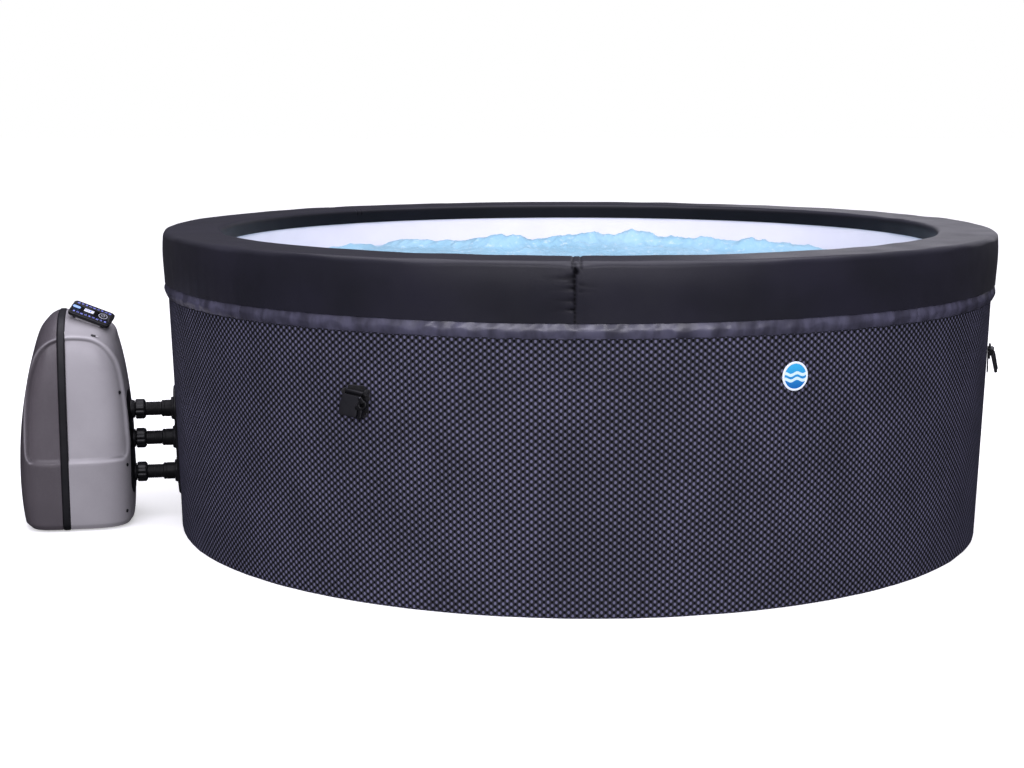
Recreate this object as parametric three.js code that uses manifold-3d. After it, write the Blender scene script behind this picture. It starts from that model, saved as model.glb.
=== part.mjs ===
// Round portable hot tub with foam-core walls, joined by three short hoses to its pump and heater unit.
// Millimetres, +Z up. The origin is the centre of the tub's base, on the ground.
import * as THREE from 'three';
import { mergeVertices } from 'three/addons/utils/BufferGeometryUtils.js';
import Module from 'manifold-3d';

const wasm = await Module();
wasm.setup();

const DEG = Math.PI / 180;
const GAP = 0.4; // left between pieces that touch

// Driving dimensions of the tub
const tubHeight = 700;
const rimOuter = 980;
const rimInner = 846;
const rimBottom = 583;
const rimEdge = 12; // rounding of the rim's top edges
const linerTop = 662;
const basinRadius = 860.5;
const wallFoot = 954; // outer radius of the jacket on the ground
const wallTop = 972; // and under the rim
const jacketTop = 578;
const hemBottom = 553;
const padHeight = 11.5;
const ringSegments = 40; // a multiple of the eight rim blocks and four wall panels
const skin = 2.5;

// Driving dimensions of the pump unit, in its own frame: +X points along the hoses to the tub
const unitPlace = new THREE.Vector3(-1216, -145, 0);
const unitTurn = 12 * DEG;
const casingBottom = 5;
const casingTop = 509;
const casingWall = 3.5;
const bandHalf = 8.5;
const hoseRow = -50;
const airHeight = 272;
const returnHeight = 202;
const suctionHeight = 120;
const hoseRadius = 16;
const hoseBore = 13;
const boreRadius = 11;
const stubRadius = 15.5;
const stubEnd = 172;
const plateThickness = 5;
const hoseEnd = (height) => 259.7 - 0.0316 * height; // each hose stops just short of the sloping wall

// Height, reach of the outer side, reach of the tub side, and half depth of the pump unit's casing
const casingRows = [
  [5, 90, 144, 138], [18, 101, 151.5, 147], [120, 109, 155, 150], [240, 103, 153, 149],
  [350, 85, 142, 144], [435, 63, 125, 131], [469, 51, 111, 115], [486, 38, 68, 93], [499, 24, 32, 62],
];

// ---------- solids ----------

function solid(geometry) {
  const bare = geometry.clone();
  bare.deleteAttribute('normal');
  bare.deleteAttribute('uv');
  const merged = mergeVertices(bare, 1e-4);
  const index = merged.index.array;
  const kept = [];
  for (let i = 0; i < index.length; i += 3) {
    const [a, b, c] = [index[i], index[i + 1], index[i + 2]];
    if (a !== b && b !== c && c !== a) kept.push(a, b, c);
  }
  return new wasm.Manifold(new wasm.Mesh({
    numProp: 3,
    vertProperties: merged.attributes.position.array,
    triVerts: new Uint32Array(kept),
  }));
}

function surface(manifold) {
  const mesh = manifold.getMesh();
  const geometry = new THREE.BufferGeometry();
  geometry.setAttribute('position', new THREE.BufferAttribute(mesh.vertProperties, 3));
  geometry.setIndex(new THREE.BufferAttribute(mesh.triVerts, 1));
  return geometry;
}

const cut = (base, ...tools) => surface(tools.reduce((s, t) => s.subtract(solid(t)), solid(base)));
const join = (...parts) => surface(parts.slice(1).reduce((s, t) => s.add(solid(t)), solid(parts[0])));
const common = (a, b) => surface(solid(a).intersect(solid(b)));

// A profile of [radius, height] pairs turned about Z. It starts and ends on the axis, or is a loop.
function revolve(profile, segments = ringSegments) {
  const points = profile.map(([r, z]) => new THREE.Vector2(r, z));
  if (THREE.ShapeUtils.area(points) < 0) points.reverse();
  if (points[0].x > 0) points.push(points[0].clone());
  return new THREE.LatheGeometry(points, segments).rotateX(Math.PI / 2).rotateZ(Math.PI / 2);
}

const alongX = (geometry) => geometry.rotateY(Math.PI / 2);
const alongY = (geometry) => geometry.rotateX(-Math.PI / 2);

function block([x0, x1], [y0, y1], [z0, z1]) {
  return new THREE.BoxGeometry(x1 - x0, y1 - y0, z1 - z0)
    .translate((x0 + x1) / 2, (y0 + y1) / 2, (z0 + z1) / 2);
}

const rod = (radius, from, to, segments = 12) =>
  revolve([[0, from], [radius, from], [radius, to], [0, to]], segments);

const sleeve = (outer, inner, from, to, segments = 12) =>
  revolve([[inner, from], [outer, from], [outer, to], [inner, to]], segments);

function roundedRectangle(width, height, radius) {
  const [w, h] = [width / 2, height / 2];
  const shape = new THREE.Shape();
  shape.moveTo(-w + radius, -h).lineTo(w - radius, -h);
  shape.absarc(w - radius, -h + radius, radius, -Math.PI / 2, 0);
  shape.absarc(w - radius, h - radius, radius, 0, Math.PI / 2);
  shape.absarc(-w + radius, h - radius, radius, Math.PI / 2, Math.PI);
  shape.absarc(-w + radius, -h + radius, radius, Math.PI, Math.PI * 1.5);
  return shape;
}

const slab = (shape, from, to, curveSegments = 2) =>
  new THREE.ExtrudeGeometry(shape, { depth: to - from, bevelEnabled: false, curveSegments })
    .translate(0, 0, from);

// The same slab standing up: the shape lies in the YZ plane and its thickness runs along X.
const uprightSlab = (shape, from, to, curveSegments) =>
  slab(shape, from, to, curveSegments).applyMatrix4(new THREE.Matrix4().makeBasis(
    new THREE.Vector3(0, 1, 0), new THREE.Vector3(0, 0, 1), new THREE.Vector3(1, 0, 0)));

function pipe(points, outer, inner, steps) {
  const section = new THREE.Shape().absarc(0, 0, outer, 0, Math.PI * 2);
  section.holes.push(new THREE.Path().absarc(0, 0, inner, 0, Math.PI * 2, true));
  const extrudePath = new THREE.CatmullRomCurve3(points.map((p) => new THREE.Vector3(...p)));
  return new THREE.ExtrudeGeometry(section, { steps, extrudePath, curveSegments: 4 });
}

// A ring shared out into equal sectors, with a small gap between neighbours.
function sectors(ring, count, firstSeam) {
  const half = Math.PI / count;
  const reach = 2 * rimOuter;
  return Array.from({ length: count }, (_, k) => {
    const wedge = new THREE.Shape();
    wedge.moveTo(0, 0);
    for (const a of [-half, -half / 3, half / 3, half])
      wedge.lineTo(reach * Math.cos(a), reach * Math.sin(a));
    const tool = slab(wedge, -1, tubHeight + 1)
      .translate(GAP / Math.sin(half), 0, 0)
      .rotateZ(firstSeam + (2 * k + 1) * half);
    return common(ring, tool);
  });
}

// ---------- scene graph ----------

const hotTub = new THREE.Group();

function finish(color, roughness, metalness = 0) {
  return () => new THREE.MeshStandardMaterial({ color, roughness, metalness });
}

const leatherette = finish(0x2b2b31, 0.62);
const hemFilm = finish(0x55535f, 0.35);
const jacketWeave = finish(0x24242c, 0.7);
const foam = finish(0xd9d6cc, 0.95);
const linerFilm = finish(0xf4f4fa, 0.4);
const padFoam = finish(0x6d7076, 0.95);
const webbing = finish(0x1d1d20, 0.8);
const blackPlastic = finish(0x111114, 0.45);
const shellOuterGrey = finish(0x6a636a, 0.45);
const shellTubGrey = finish(0x9b979f, 0.42);
const rubberBlack = finish(0x18181b, 0.75);
const steel = finish(0xb9bcc0, 0.3, 1);
const motorPaint = finish(0x3a4a63, 0.5, 0.2);
const whitePlastic = finish(0xe9ebee, 0.5);
const boardGreen = finish(0x1f6b45, 0.6);
const badgeBlue = finish(0x2f9bd6, 0.35);
const keyBlue = finish(0x8fb4ee, 0.4);

function add(parent, name, geometry, makeFinish) {
  const mesh = new THREE.Mesh(geometry, makeFinish());
  mesh.name = name;
  parent.add(mesh);
  return mesh;
}

// A group whose +X axis points outward from the tub's centre at the given angle.
function outward(angle, height) {
  const group = new THREE.Group();
  group.rotation.z = angle;
  group.position.z = height;
  hotTub.add(group);
  return group;
}

const unit = new THREE.Group();
unit.position.copy(unitPlace);
unit.rotation.z = unitTurn;
hotTub.add(unit);
unit.updateMatrixWorld();

const ports = [
  { name: 'air', height: airHeight },
  { name: 'return', height: returnHeight },
  { name: 'suction', height: suctionHeight },
];
const alongHose = (geometry, height) => alongX(geometry).translate(0, hoseRow, height);

// Round passages for the ports and the drain, in the tub's own frame.
const passageRadius = 17;
const drainAngle = 120 * DEG;
const drainHeight = 70;
const passages = [
  ...ports.map((p) => alongHose(rod(passageRadius, 200, 420), p.height).applyMatrix4(unit.matrixWorld)),
  alongX(rod(passageRadius, 800, 1000)).translate(0, 0, drainHeight).rotateZ(drainAngle),
];

// ---------- tub ----------

const wallRadius = (z) => wallFoot + (wallTop - wallFoot) * z / jacketTop;

function buildFloorPad() {
  add(hotTub, 'floor_pad', rod(wallFoot - 4, 0, padHeight, ringSegments), padFoam);
}

function buildWall() {
  const foot = padHeight + GAP;
  const panelTop = jacketTop - 3;
  const clear = skin + 1;
  const wallRing = revolve([
    [basinRadius + skin + 2, foot], [wallRadius(foot) - clear, foot],
    [wallRadius(panelTop) - clear, panelTop], [basinRadius + skin + 2, panelTop],
  ]);
  sectors(wallRing, 4, 45 * DEG).forEach((panel, k) => {
    add(hotTub, `wall_foam_${k + 1}`, cut(panel, ...passages), foam);
  });
  const jacket = revolve([
    [wallFoot - 2, 1], [wallFoot, 1], [wallTop, jacketTop], [wallTop - 2, jacketTop],
  ]);
  add(hotTub, 'outer_jacket', cut(jacket, ...passages), jacketWeave);
}

function buildLiner() {
  const floorLow = padHeight + GAP;
  const lip = rimInner + 2;
  const liner = revolve([
    [0, floorLow], [basinRadius + skin, floorLow], [basinRadius + skin, 562], [lip + skin, 580],
    [lip + skin, linerTop], [lip, linerTop], [lip, 579], [basinRadius, 561],
    [basinRadius, floorLow + skin], [0, floorLow + skin],
  ]);
  add(hotTub, 'liner', cut(liner, ...passages), linerFilm);
  const ringLow = floorLow + skin + GAP;
  add(hotTub, 'bubble_ring', revolve([
    [820, ringLow], [854, ringLow], [846, 44], [828, 44],
  ]), linerFilm);
}

function buildRim() {
  const inset = skin + 1.5;
  const [low, high] = [rimBottom + 1, tubHeight - inset];
  const [inner, outer] = [rimInner + inset + 3, rimOuter - inset];
  const blockRing = revolve([
    [inner, low], [outer, low], [outer, high - rimEdge], [outer - rimEdge, high],
    [inner + rimEdge, high], [inner, high - rimEdge],
  ]);
  sectors(blockRing, 8, 0).forEach((piece, k) => {
    add(hotTub, `rim_foam_${k + 1}`, piece, foam);
  });
  add(hotTub, 'rim_cover', revolve([
    [rimOuter - skin, rimBottom], [rimOuter, rimBottom], [rimOuter, tubHeight - rimEdge],
    [rimOuter - rimEdge, tubHeight], [rimInner + rimEdge, tubHeight],
    [rimInner, tubHeight - rimEdge], [rimInner, linerTop + 1], [rimInner + skin, linerTop + 1],
    [rimInner + skin, tubHeight - rimEdge - 1], [rimInner + rimEdge + 1, tubHeight - skin],
    [rimOuter - rimEdge - 1, tubHeight - skin], [rimOuter - skin, tubHeight - rimEdge - 1],
  ]), leatherette);
  add(hotTub, 'hem_band', revolve([
    [975.5, hemBottom], [981.5, hemBottom], [rimOuter, rimBottom - 0.5], [977, rimBottom - 0.5],
  ]), hemFilm);
}

function buildBadge() {
  const group = outward(-64 * DEG, 469);
  add(group, 'badge', alongX(rod(29, 969.5, 971.5, 20)), badgeBlue);
}

// Four lid straps end in buckles that hang from a bar on a sewn patch.
function buildBuckles() {
  const barReach = 977.5;
  const barRise = 22;
  const hangTilt = -13 * DEG;
  [-116.3, -13.4, 72.3, 158].forEach((bearing, k) => {
    const group = outward(bearing * DEG, 411);
    const patch = uprightSlab(roundedRectangle(62, 58, 8), 968.3, 970.8);
    const lugs = [-1, 1].map((side) =>
      block([970, barReach + 2], [side * 24.25 - 1.75, side * 24.25 + 1.75], [barRise - 3, barRise + 3]));
    const bar = alongY(rod(2.4, -24, 24, 6)).translate(barReach, 0, barRise);
    add(group, `strap_patch_${k + 1}`, join(patch, ...lugs, bar), webbing);

    const eye = alongY(rod(5, -21, 21, 8));
    const body = slab(roundedRectangle(44, 46, 7), -4, 4).rotateX(Math.PI / 2).rotateZ(Math.PI / 2)
      .translate(0, 0, -26.5);
    const buckle = cut(join(eye, body), alongY(rod(3, -22, 22, 6)));
    const mesh = add(group, `buckle_${k + 1}`, buckle, blackPlastic);
    mesh.position.set(barReach, 0, barRise);
    mesh.rotation.y = hangTilt;
  });
}

function buildDrain() {
  const group = outward(drainAngle, drainHeight);
  const valve = revolve([
    [9, 852], [20, 852], [20, 857], [14, 857], [14, 957.5], [28, 957.5], [28, 961], [14, 961],
    [14, 984], [9, 984],
  ], 12);
  add(group, 'drain_valve', alongX(valve), blackPlastic);
  const cap = revolve([[15, 963], [20, 963], [20, 989], [0, 989], [0, 985], [15, 985]], 12);
  add(group, 'drain_cap', alongX(cap), blackPlastic);
}

// ---------- hoses and ports ----------

function buildHoses() {
  const [plateLow, plateHigh] = [50, 340];
  const plateRing = revolve([
    [wallRadius(plateLow) + GAP, plateLow], [wallRadius(plateLow) + GAP + plateThickness, plateLow],
    [wallRadius(plateHigh) + GAP + plateThickness, plateHigh], [wallRadius(plateHigh) + GAP, plateHigh],
  ]);
  const plateOutline = uprightSlab(roundedRectangle(112, 262, 54), 200, 320, 4)
    .translate(0, hoseRow, (airHeight + suctionHeight) / 2).applyMatrix4(unit.matrixWorld);
  add(hotTub, 'port_plate', cut(common(plateRing, plateOutline), ...passages), blackPlastic);
  for (const { name, height } of ports) {
    const tubPort = revolve([
      [boreRadius, hoseEnd(height) + GAP], [stubRadius, hoseEnd(height) + GAP],
      [stubRadius, 367.5], [28, 367.5], [28, 372], [boreRadius, 372],
    ], 12);
    add(unit, `tub_port_${name}`, alongHose(tubPort, height), whitePlastic);
    const hose = revolve([
      [hoseBore, stubEnd + 1], [hoseRadius, stubEnd + 1], [hoseRadius, 222], [20, 224],
      [20, hoseEnd(height)], [hoseBore, hoseEnd(height)],
    ], 12);
    add(unit, `hose_${name}`, alongHose(hose, height), rubberBlack);
    add(unit, `union_nut_${name}`, alongHose(sleeve(24, 16.6, 162, 186, 12), height), blackPlastic);
  }
}

function buildFilter() {
  const [near, far] = [373.5, 480];
  const cup = revolve([
    [34, near], [50, near], [50, far], [0, far], [0, far - 3], [47, far - 3], [47, near + 3], [34, near + 3],
  ], 16);
  const windows = [0, 60, 120].map((turn) =>
    block([-60, 60], [-9, 9], [near + 22, far - 22]).rotateZ(turn * DEG));
  add(unit, 'filter_cup', alongHose(cut(cup, ...windows), suctionHeight), whitePlastic);
  add(unit, 'filter_cartridge', alongHose(sleeve(44, 18, near + 5, far - 5), suctionHeight), whitePlastic);
}

// ---------- pump unit ----------

// The casing's plan is a superellipse at every height, squarer up to its shoulder than over its crown.
// The offset grows or shrinks it all round.
function casing(offset) {
  const squareness = (z) => (z < 450 ? 4 : 3);
  const middle = (casingBottom + casingTop) / 2;
  const stretch = 1 + 2 * offset / (casingTop - casingBottom);
  const profile = [[0, casingBottom], ...casingRows.map(([z]) => [1, z]), [0, casingTop]];
  const geometry = revolve(profile, 28);
  const place = geometry.attributes.position;
  for (let i = 0; i < place.count; i += 1) {
    const [c, s, z] = [place.getX(i), place.getY(i), place.getZ(i)];
    const row = casingRows.find(([rowZ]) => Math.abs(rowZ - z) < 0.01) ?? [z, 0, 0, 0];
    const power = 2 / squareness(z);
    const reach = (c < 0 ? row[1] : row[2]) + offset;
    const depth = row[3] + offset;
    place.setXYZ(
      i,
      Math.sign(c) * Math.abs(c) ** power * reach,
      Math.sign(s) * Math.abs(s) ** power * depth,
      middle + (z - middle) * stretch,
    );
  }
  return geometry;
}

// The control head's frame: turned, pitched down towards the tub and rolled towards the front.
const headFrame = new THREE.Group();
headFrame.position.set(70, -65, 507);
headFrame.rotation.set(23.5 * DEG, 21 * DEG, -8.4 * DEG, 'ZYX');
unit.add(headFrame);
headFrame.updateMatrix();
const headSize = { length: 100, width: 58, depth: 10 };
const headHinge = { y: -19, z: -13.5 };

function buildCasing() {
  const wall = cut(casing(0), casing(-casingWall));
  const far = 200;
  const outerSide = block([-far, -bandHalf - GAP], [-far, far], [-1, 600]);
  const tubSide = block([bandHalf + GAP, far], [-far, far], [-1, 600]);
  const portHoles = ports.map((p) => alongHose(rod(passageRadius, 100, 180), p.height));
  add(unit, 'shell_outer', common(wall, outerSide), shellOuterGrey);

  const post = block([-30, 30], [headHinge.y - 3, headHinge.y + 3], [-45, headHinge.z]);
  const onHinge = (geometry) => alongX(geometry).translate(0, headHinge.y, headHinge.z);
  const bracket = join(post, onHinge(rod(3.1, -30, 30)), onHinge(rod(2.4, -37, 37)))
    .applyMatrix4(headFrame.matrix);
  const tubShell = common(cut(wall, ...portHoles), tubSide);
  const bracketFoot = common(cut(bracket, casing(-casingWall / 2)), tubSide);
  add(unit, 'shell_tub_side', join(tubShell, bracketFoot), shellTubGrey);

  const bandSpace = block([-bandHalf, bandHalf], [-far, far], [-1, 600]);
  add(unit, 'seam_band', common(cut(casing(-1), casing(-casingWall - 1)), bandSpace), rubberBlack);

  const panelOutline = uprightSlab(roundedRectangle(92, 250, 36), 60, far).translate(0, hoseRow, 196);
  const panel = common(cut(casing(2.8), casing(GAP)), panelOutline);
  const collars = ports.map((p) => cut(alongHose(rod(21, 150, 161), p.height), casing(GAP)));
  const stubs = ports.map((p) => alongHose(rod(stubRadius, 134, stubEnd), p.height));
  const bores = ports.map((p) => alongHose(rod(boreRadius, 120, 180), p.height));
  add(unit, 'port_panel', cut(join(panel, ...collars, ...stubs), ...bores), blackPlastic);

  const base = slab(roundedRectangle(190, 196, 30), 0, casingBottom - GAP).translate(26, 0, 0);
  add(unit, 'pump_base', base, rubberBlack);
}

function buildPump() {
  const axis = [55, 62];
  const inPlace = (geometry) => alongY(geometry).translate(axis[0], 0, axis[1]);
  const motor = join(
    inPlace(rod(38, -95, 15, 16)), inPlace(rod(30, -104, -94)),
    block([28, 82], [-75, -5], [9, 40]),
  );
  add(unit, 'pump_motor', cut(motor, inPlace(rod(5, -10, 16))), motorPaint);

  const outlet = [82, 38];
  const volute = join(
    inPlace(rod(46, 16, 60, 16)), inPlace(rod(15, 59, 76)),
    rod(13, axis[1], 137).translate(outlet[0], outlet[1], 0),
  );
  add(unit, 'pump_volute', cut(
    volute, inPlace(rod(40, 20, 56, 16)), inPlace(rod(5, 15, 21)), inPlace(rod(11, 55, 77)),
    rod(9.5, axis[1] + 5, 138).translate(outlet[0], outlet[1], 0),
  ), blackPlastic);

  const blades = [0, 60, 120].map((turn) => block([-35, 35], [-1.5, 1.5], [29, 44]).rotateZ(turn * DEG));
  const impeller = join(rod(36, 25, 30, 16), rod(10, 29, 46), rod(4, -5, 26, 8), ...blades);
  add(unit, 'pump_impeller', inPlace(impeller), whitePlastic);
}

function buildHeater() {
  const tube = revolve([
    [22, -95], [31, -95], [31, -89], [26, -89], [26, 79], [31, 79], [31, 85], [22, 85],
  ], 12);
  add(unit, 'heater_tube', alongY(tube).translate(60, 0, 165), steel);
}

function buildBlower() {
  const centre = [10, 30];
  const outletHeight = 315;
  const housing = join(
    rod(52, 285, 345, 16), rod(22, 262, 286),
    alongX(rod(13, 40, 59)).translate(0, -10, outletHeight),
  );
  const hollow = [
    rod(47, 289, 341, 16), rod(20, 340, 346), rod(5, 266, 290),
    alongX(rod(9.5, 40, 60)).translate(0, -10, outletHeight),
  ];
  add(unit, 'blower_housing', cut(housing, ...hollow).translate(...centre, 0), blackPlastic);
  const vanes = [0, 45, 90, 135].map((turn) => block([-39, 39], [-1, 1], [302, 330]).rotateZ(turn * DEG));
  const fan = join(rod(40, 298, 303, 16), rod(9, 302, 332), rod(4, 270, 299, 8), ...vanes);
  add(unit, 'blower_fan', fan.translate(...centre, 0), whitePlastic);
}

function buildPipes() {
  const inner = 133; // just short of the ports' inner ends
  const straight = inner - 8;
  add(unit, 'suction_pipe', pipe([
    [inner, hoseRow, suctionHeight], [straight, hoseRow, suctionHeight], [114, -34, 118],
    [116, 10, 112], [118, 60, 104], [106, 94, 84], [78, 112, 66], [57, 102, 62], [55, 88, 62],
    [55, 77.5, 62],
  ], 12, 9.5, 14), rubberBlack);
  add(unit, 'return_pipe', pipe([
    [60, -96, 165], [60, -106, 165], [72, -119, 170], [94, -113, 183], [110, -84, 196],
    [straight, hoseRow, returnHeight], [inner, hoseRow, returnHeight],
  ], 12, 9.5, 10), rubberBlack);
  add(unit, 'air_pipe', pipe([
    [70, 20, 315], [79, 20, 315], [102, 0, 306], [112, -30, 286],
    [straight, hoseRow, airHeight], [inner, hoseRow, airHeight],
  ], 12, 9.5, 9), rubberBlack);
}

function buildControlBoard() {
  add(unit, 'control_board', join(
    block([-64, -62], [-55, 55], [225, 325]), block([-62.5, -40], [-40, 0], [235, 268]),
    block([-62.5, -50], [15, 45], [235, 255]), block([-62.5, -52], [-45, 40], [300, 312]),
  ), boardGreen);
}

// ---------- control head ----------

function buildHead() {
  const { length, width, depth } = headSize;
  const fasciaThickness = 1.5;
  const face = -fasciaThickness;
  const oval = roundedRectangle(19, 9, 4.4);
  const power = { x: 27, radius: 8.5 };
  const selectX = -37;
  const displayRecess = block([-19, 5], [-6, 6], [-0.8, 1]);
  const onHinge = (geometry) => alongX(geometry).translate(0, headHinge.y, headHinge.z);
  const ears = [-34, 34].map((x) => cut(
    join(
      onHinge(rod(4, x - 3, x + 3)),
      block([x - 3, x + 3], [headHinge.y - 3.8, headHinge.y + 3.8], [headHinge.z, -depth + 1]),
    ),
    onHinge(rod(2.9, x - 4, x + 4)),
  ));
  const body = slab(roundedRectangle(length, width, 9), -depth, face - GAP / 2);
  const pockets = [
    rod(power.radius + 0.6, -5, 0).translate(power.x, 0, 0),
    slab(roundedRectangle(20.2, 10.2, 5), -5, 0).translate(selectX, 0, 0),
  ];
  add(headFrame, 'control_head', cut(join(body, ...ears), ...pockets), blackPlastic);

  const fascia = slab(roundedRectangle(length - 5, width - 5, 7), face, 0);
  add(headFrame, 'control_fascia', cut(fascia, ...pockets, displayRecess), blackPlastic);
  add(headFrame, 'power_button', rod(power.radius, -3.5, 1.2, 16).translate(power.x, 0, 0), whitePlastic);
  add(headFrame, 'select_button', slab(oval, -3.5, 1.2).translate(selectX, 0, 0), keyBlue);
}

buildFloorPad();
buildWall();
buildLiner();
buildRim();
buildBadge();
buildBuckles();
buildDrain();
buildHoses();
buildFilter();
buildCasing();
buildPump();
buildHeater();
buildBlower();
buildPipes();
buildControlBoard();
buildHead();

export default hotTub;
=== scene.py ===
import math

import bmesh
import bpy
import numpy as np
from mathutils import Matrix


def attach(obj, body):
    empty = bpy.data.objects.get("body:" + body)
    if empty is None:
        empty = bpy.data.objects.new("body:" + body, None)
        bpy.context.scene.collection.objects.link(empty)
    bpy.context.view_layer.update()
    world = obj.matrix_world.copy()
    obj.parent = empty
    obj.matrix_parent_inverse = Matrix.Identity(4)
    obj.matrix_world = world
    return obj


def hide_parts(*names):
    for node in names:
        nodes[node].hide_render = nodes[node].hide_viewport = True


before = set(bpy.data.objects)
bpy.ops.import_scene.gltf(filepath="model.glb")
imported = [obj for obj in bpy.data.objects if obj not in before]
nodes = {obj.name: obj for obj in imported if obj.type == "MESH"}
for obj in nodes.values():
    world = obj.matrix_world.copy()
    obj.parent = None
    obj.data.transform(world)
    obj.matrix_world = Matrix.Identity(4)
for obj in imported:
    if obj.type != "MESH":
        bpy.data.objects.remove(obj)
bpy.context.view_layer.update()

# Shapes below are made in millimetres, in the model's own frame, and become metres in piece().
TAU = 2 * math.pi

# The tub
RIM_OUTER = 980.0
RIM_INNER = 846.0
RIM_BOTTOM = 583.0
RIM_TOP = 700.0
RIM_EDGE = 12.0
LINER_TOP = 662.0
BASIN_RADIUS = 860.5
WALL_FOOT = 954.0
WALL_TOP = 972.0
JACKET_TOP = 578.0
SEAMS = [math.radians(45 * k - 90) for k in range(8)]
DRAIN = (math.radians(120), 70.0)
WATER_LEVEL = 598.0

# The pump unit's frame: +X points along the hoses to the tub
HOSE_ROW = -50.0
PORT_HEIGHTS = {"air": 272.0, "return": 202.0, "suction": 120.0}
BAND_HALF = 8.5


def moved(x, y, z):
    return Matrix.Translation((x, y, z))


def turned_by(degrees, axis):
    return Matrix.Rotation(math.radians(degrees), 4, axis)


UNIT = moved(-1216, -145, 0) @ turned_by(12, "Z")
HEAD = UNIT @ moved(70, -65, 507) @ turned_by(-8.4, "Z") @ turned_by(21, "Y") @ turned_by(23.5, "X")
ALONG_X = Matrix(((0, 0, 1, 0), (0, 1, 0, 0), (-1, 0, 0, 0), (0, 0, 0, 1)))
ALONG_Y = turned_by(-90, "X")


def outward(degrees, height):
    """A frame whose +X points out from the tub's middle."""
    return turned_by(degrees, "Z") @ moved(0, 0, height)


# ---------- camera, light and floor ----------

scene = bpy.context.scene
scene.view_settings.view_transform = "Standard"

camera_data = bpy.data.cameras.new("camera")
camera_data.lens = 63.35
camera_data.sensor_width = 36
camera = bpy.data.objects.new("camera", camera_data)
camera.location = (0, -4.3508, 1.0041)
camera.rotation_euler = (math.radians(90 - 9.0384), 0, math.radians(2.0626))
scene.collection.objects.link(camera)
scene.camera = camera


# The studio light's faint tint
LAVENDER = (0.93, 0.91, 1.0)


def softbox(name, place, aim, size, power):
    light = bpy.data.lights.new(name, "AREA")
    light.shape = "RECTANGLE"
    light.size, light.size_y = size
    light.energy = power
    light.color = LAVENDER
    box = bpy.data.objects.new(name, light)
    box.location = place
    toward = Matrix.Translation(aim).translation - Matrix.Translation(place).translation
    box.rotation_euler = toward.to_track_quat("-Z", "Y").to_euler()
    scene.collection.objects.link(box)


softbox("overhead", (0, -0.9, 3.7), (0, -0.9, 0), (4.6, 4.6), 130)
softbox("rear_right", (2.4, 4.4, 1.8), (0.6, 0, 0.7), (3.6, 2.2), 17)
softbox("front_strip", (0, -5.2, 2.35), (0, 0, 0.4), (7.0, 0.9), 105)


def make_world():
    """White behind the object, light from above and in front on matt surfaces, a dim horizon in gloss."""
    world = bpy.data.worlds.new("studio")
    scene.world = world
    world.use_nodes = True
    world.cycles.sampling_method = "NONE"
    tree = world.node_tree
    tree.nodes.clear()

    def background(strength, tint=(1, 1, 1)):
        node = tree.nodes.new("ShaderNodeBackground")
        node.inputs["Color"].default_value = (*tint, 1)
        node.inputs["Strength"].default_value = strength
        return node

    def choose(ray, otherwise, then):
        pick = tree.nodes.new("ShaderNodeMixShader")
        tree.links.new(path.outputs[ray], pick.inputs[0])
        tree.links.new(otherwise.outputs[0], pick.inputs[1])
        tree.links.new(then.outputs[0], pick.inputs[2])
        return pick

    def math_node(operation, *values):
        node = tree.nodes.new("ShaderNodeMath")
        node.operation = operation
        for socket, value in zip(node.inputs, values):
            if isinstance(value, float):
                socket.default_value = value
            else:
                tree.links.new(value, socket)
        return node.outputs[0]

    path = tree.nodes.new("ShaderNodeLightPath")
    way = tree.nodes.new("ShaderNodeSeparateXYZ")
    tree.links.new(tree.nodes.new("ShaderNodeTexCoord").outputs["Generated"], way.inputs[0])
    up = math_node("MAXIMUM", way.outputs["Z"], 0.0)
    front = math_node("POWER", math_node("MAXIMUM", math_node("MULTIPLY", way.outputs["Y"], -1.0), 0.0), 2.0)
    even, mirrored = background(1.0, LAVENDER), background(0.3, (0.8, 0.77, 1.0))
    glow = math_node("MULTIPLY_ADD", up, 0.72, math_node("MULTIPLY_ADD", front, 1.45, 0.13))
    tree.links.new(glow, even.inputs["Strength"])
    tree.links.new(math_node("MULTIPLY_ADD", up, 0.32, 0.025), mirrored.inputs["Strength"])
    pick = choose("Is Camera Ray", choose("Is Diffuse Ray", mirrored, even), background(1.0))
    tree.links.new(pick.outputs[0], tree.nodes.new("ShaderNodeOutputWorld").inputs[0])


make_world()


# ---------- materials ----------

def linear(*srgb):
    return tuple(((c / 255 + 0.055) / 1.055) ** 2.4 if c > 10 else c / 255 / 12.92 for c in srgb) + (1,)


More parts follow.
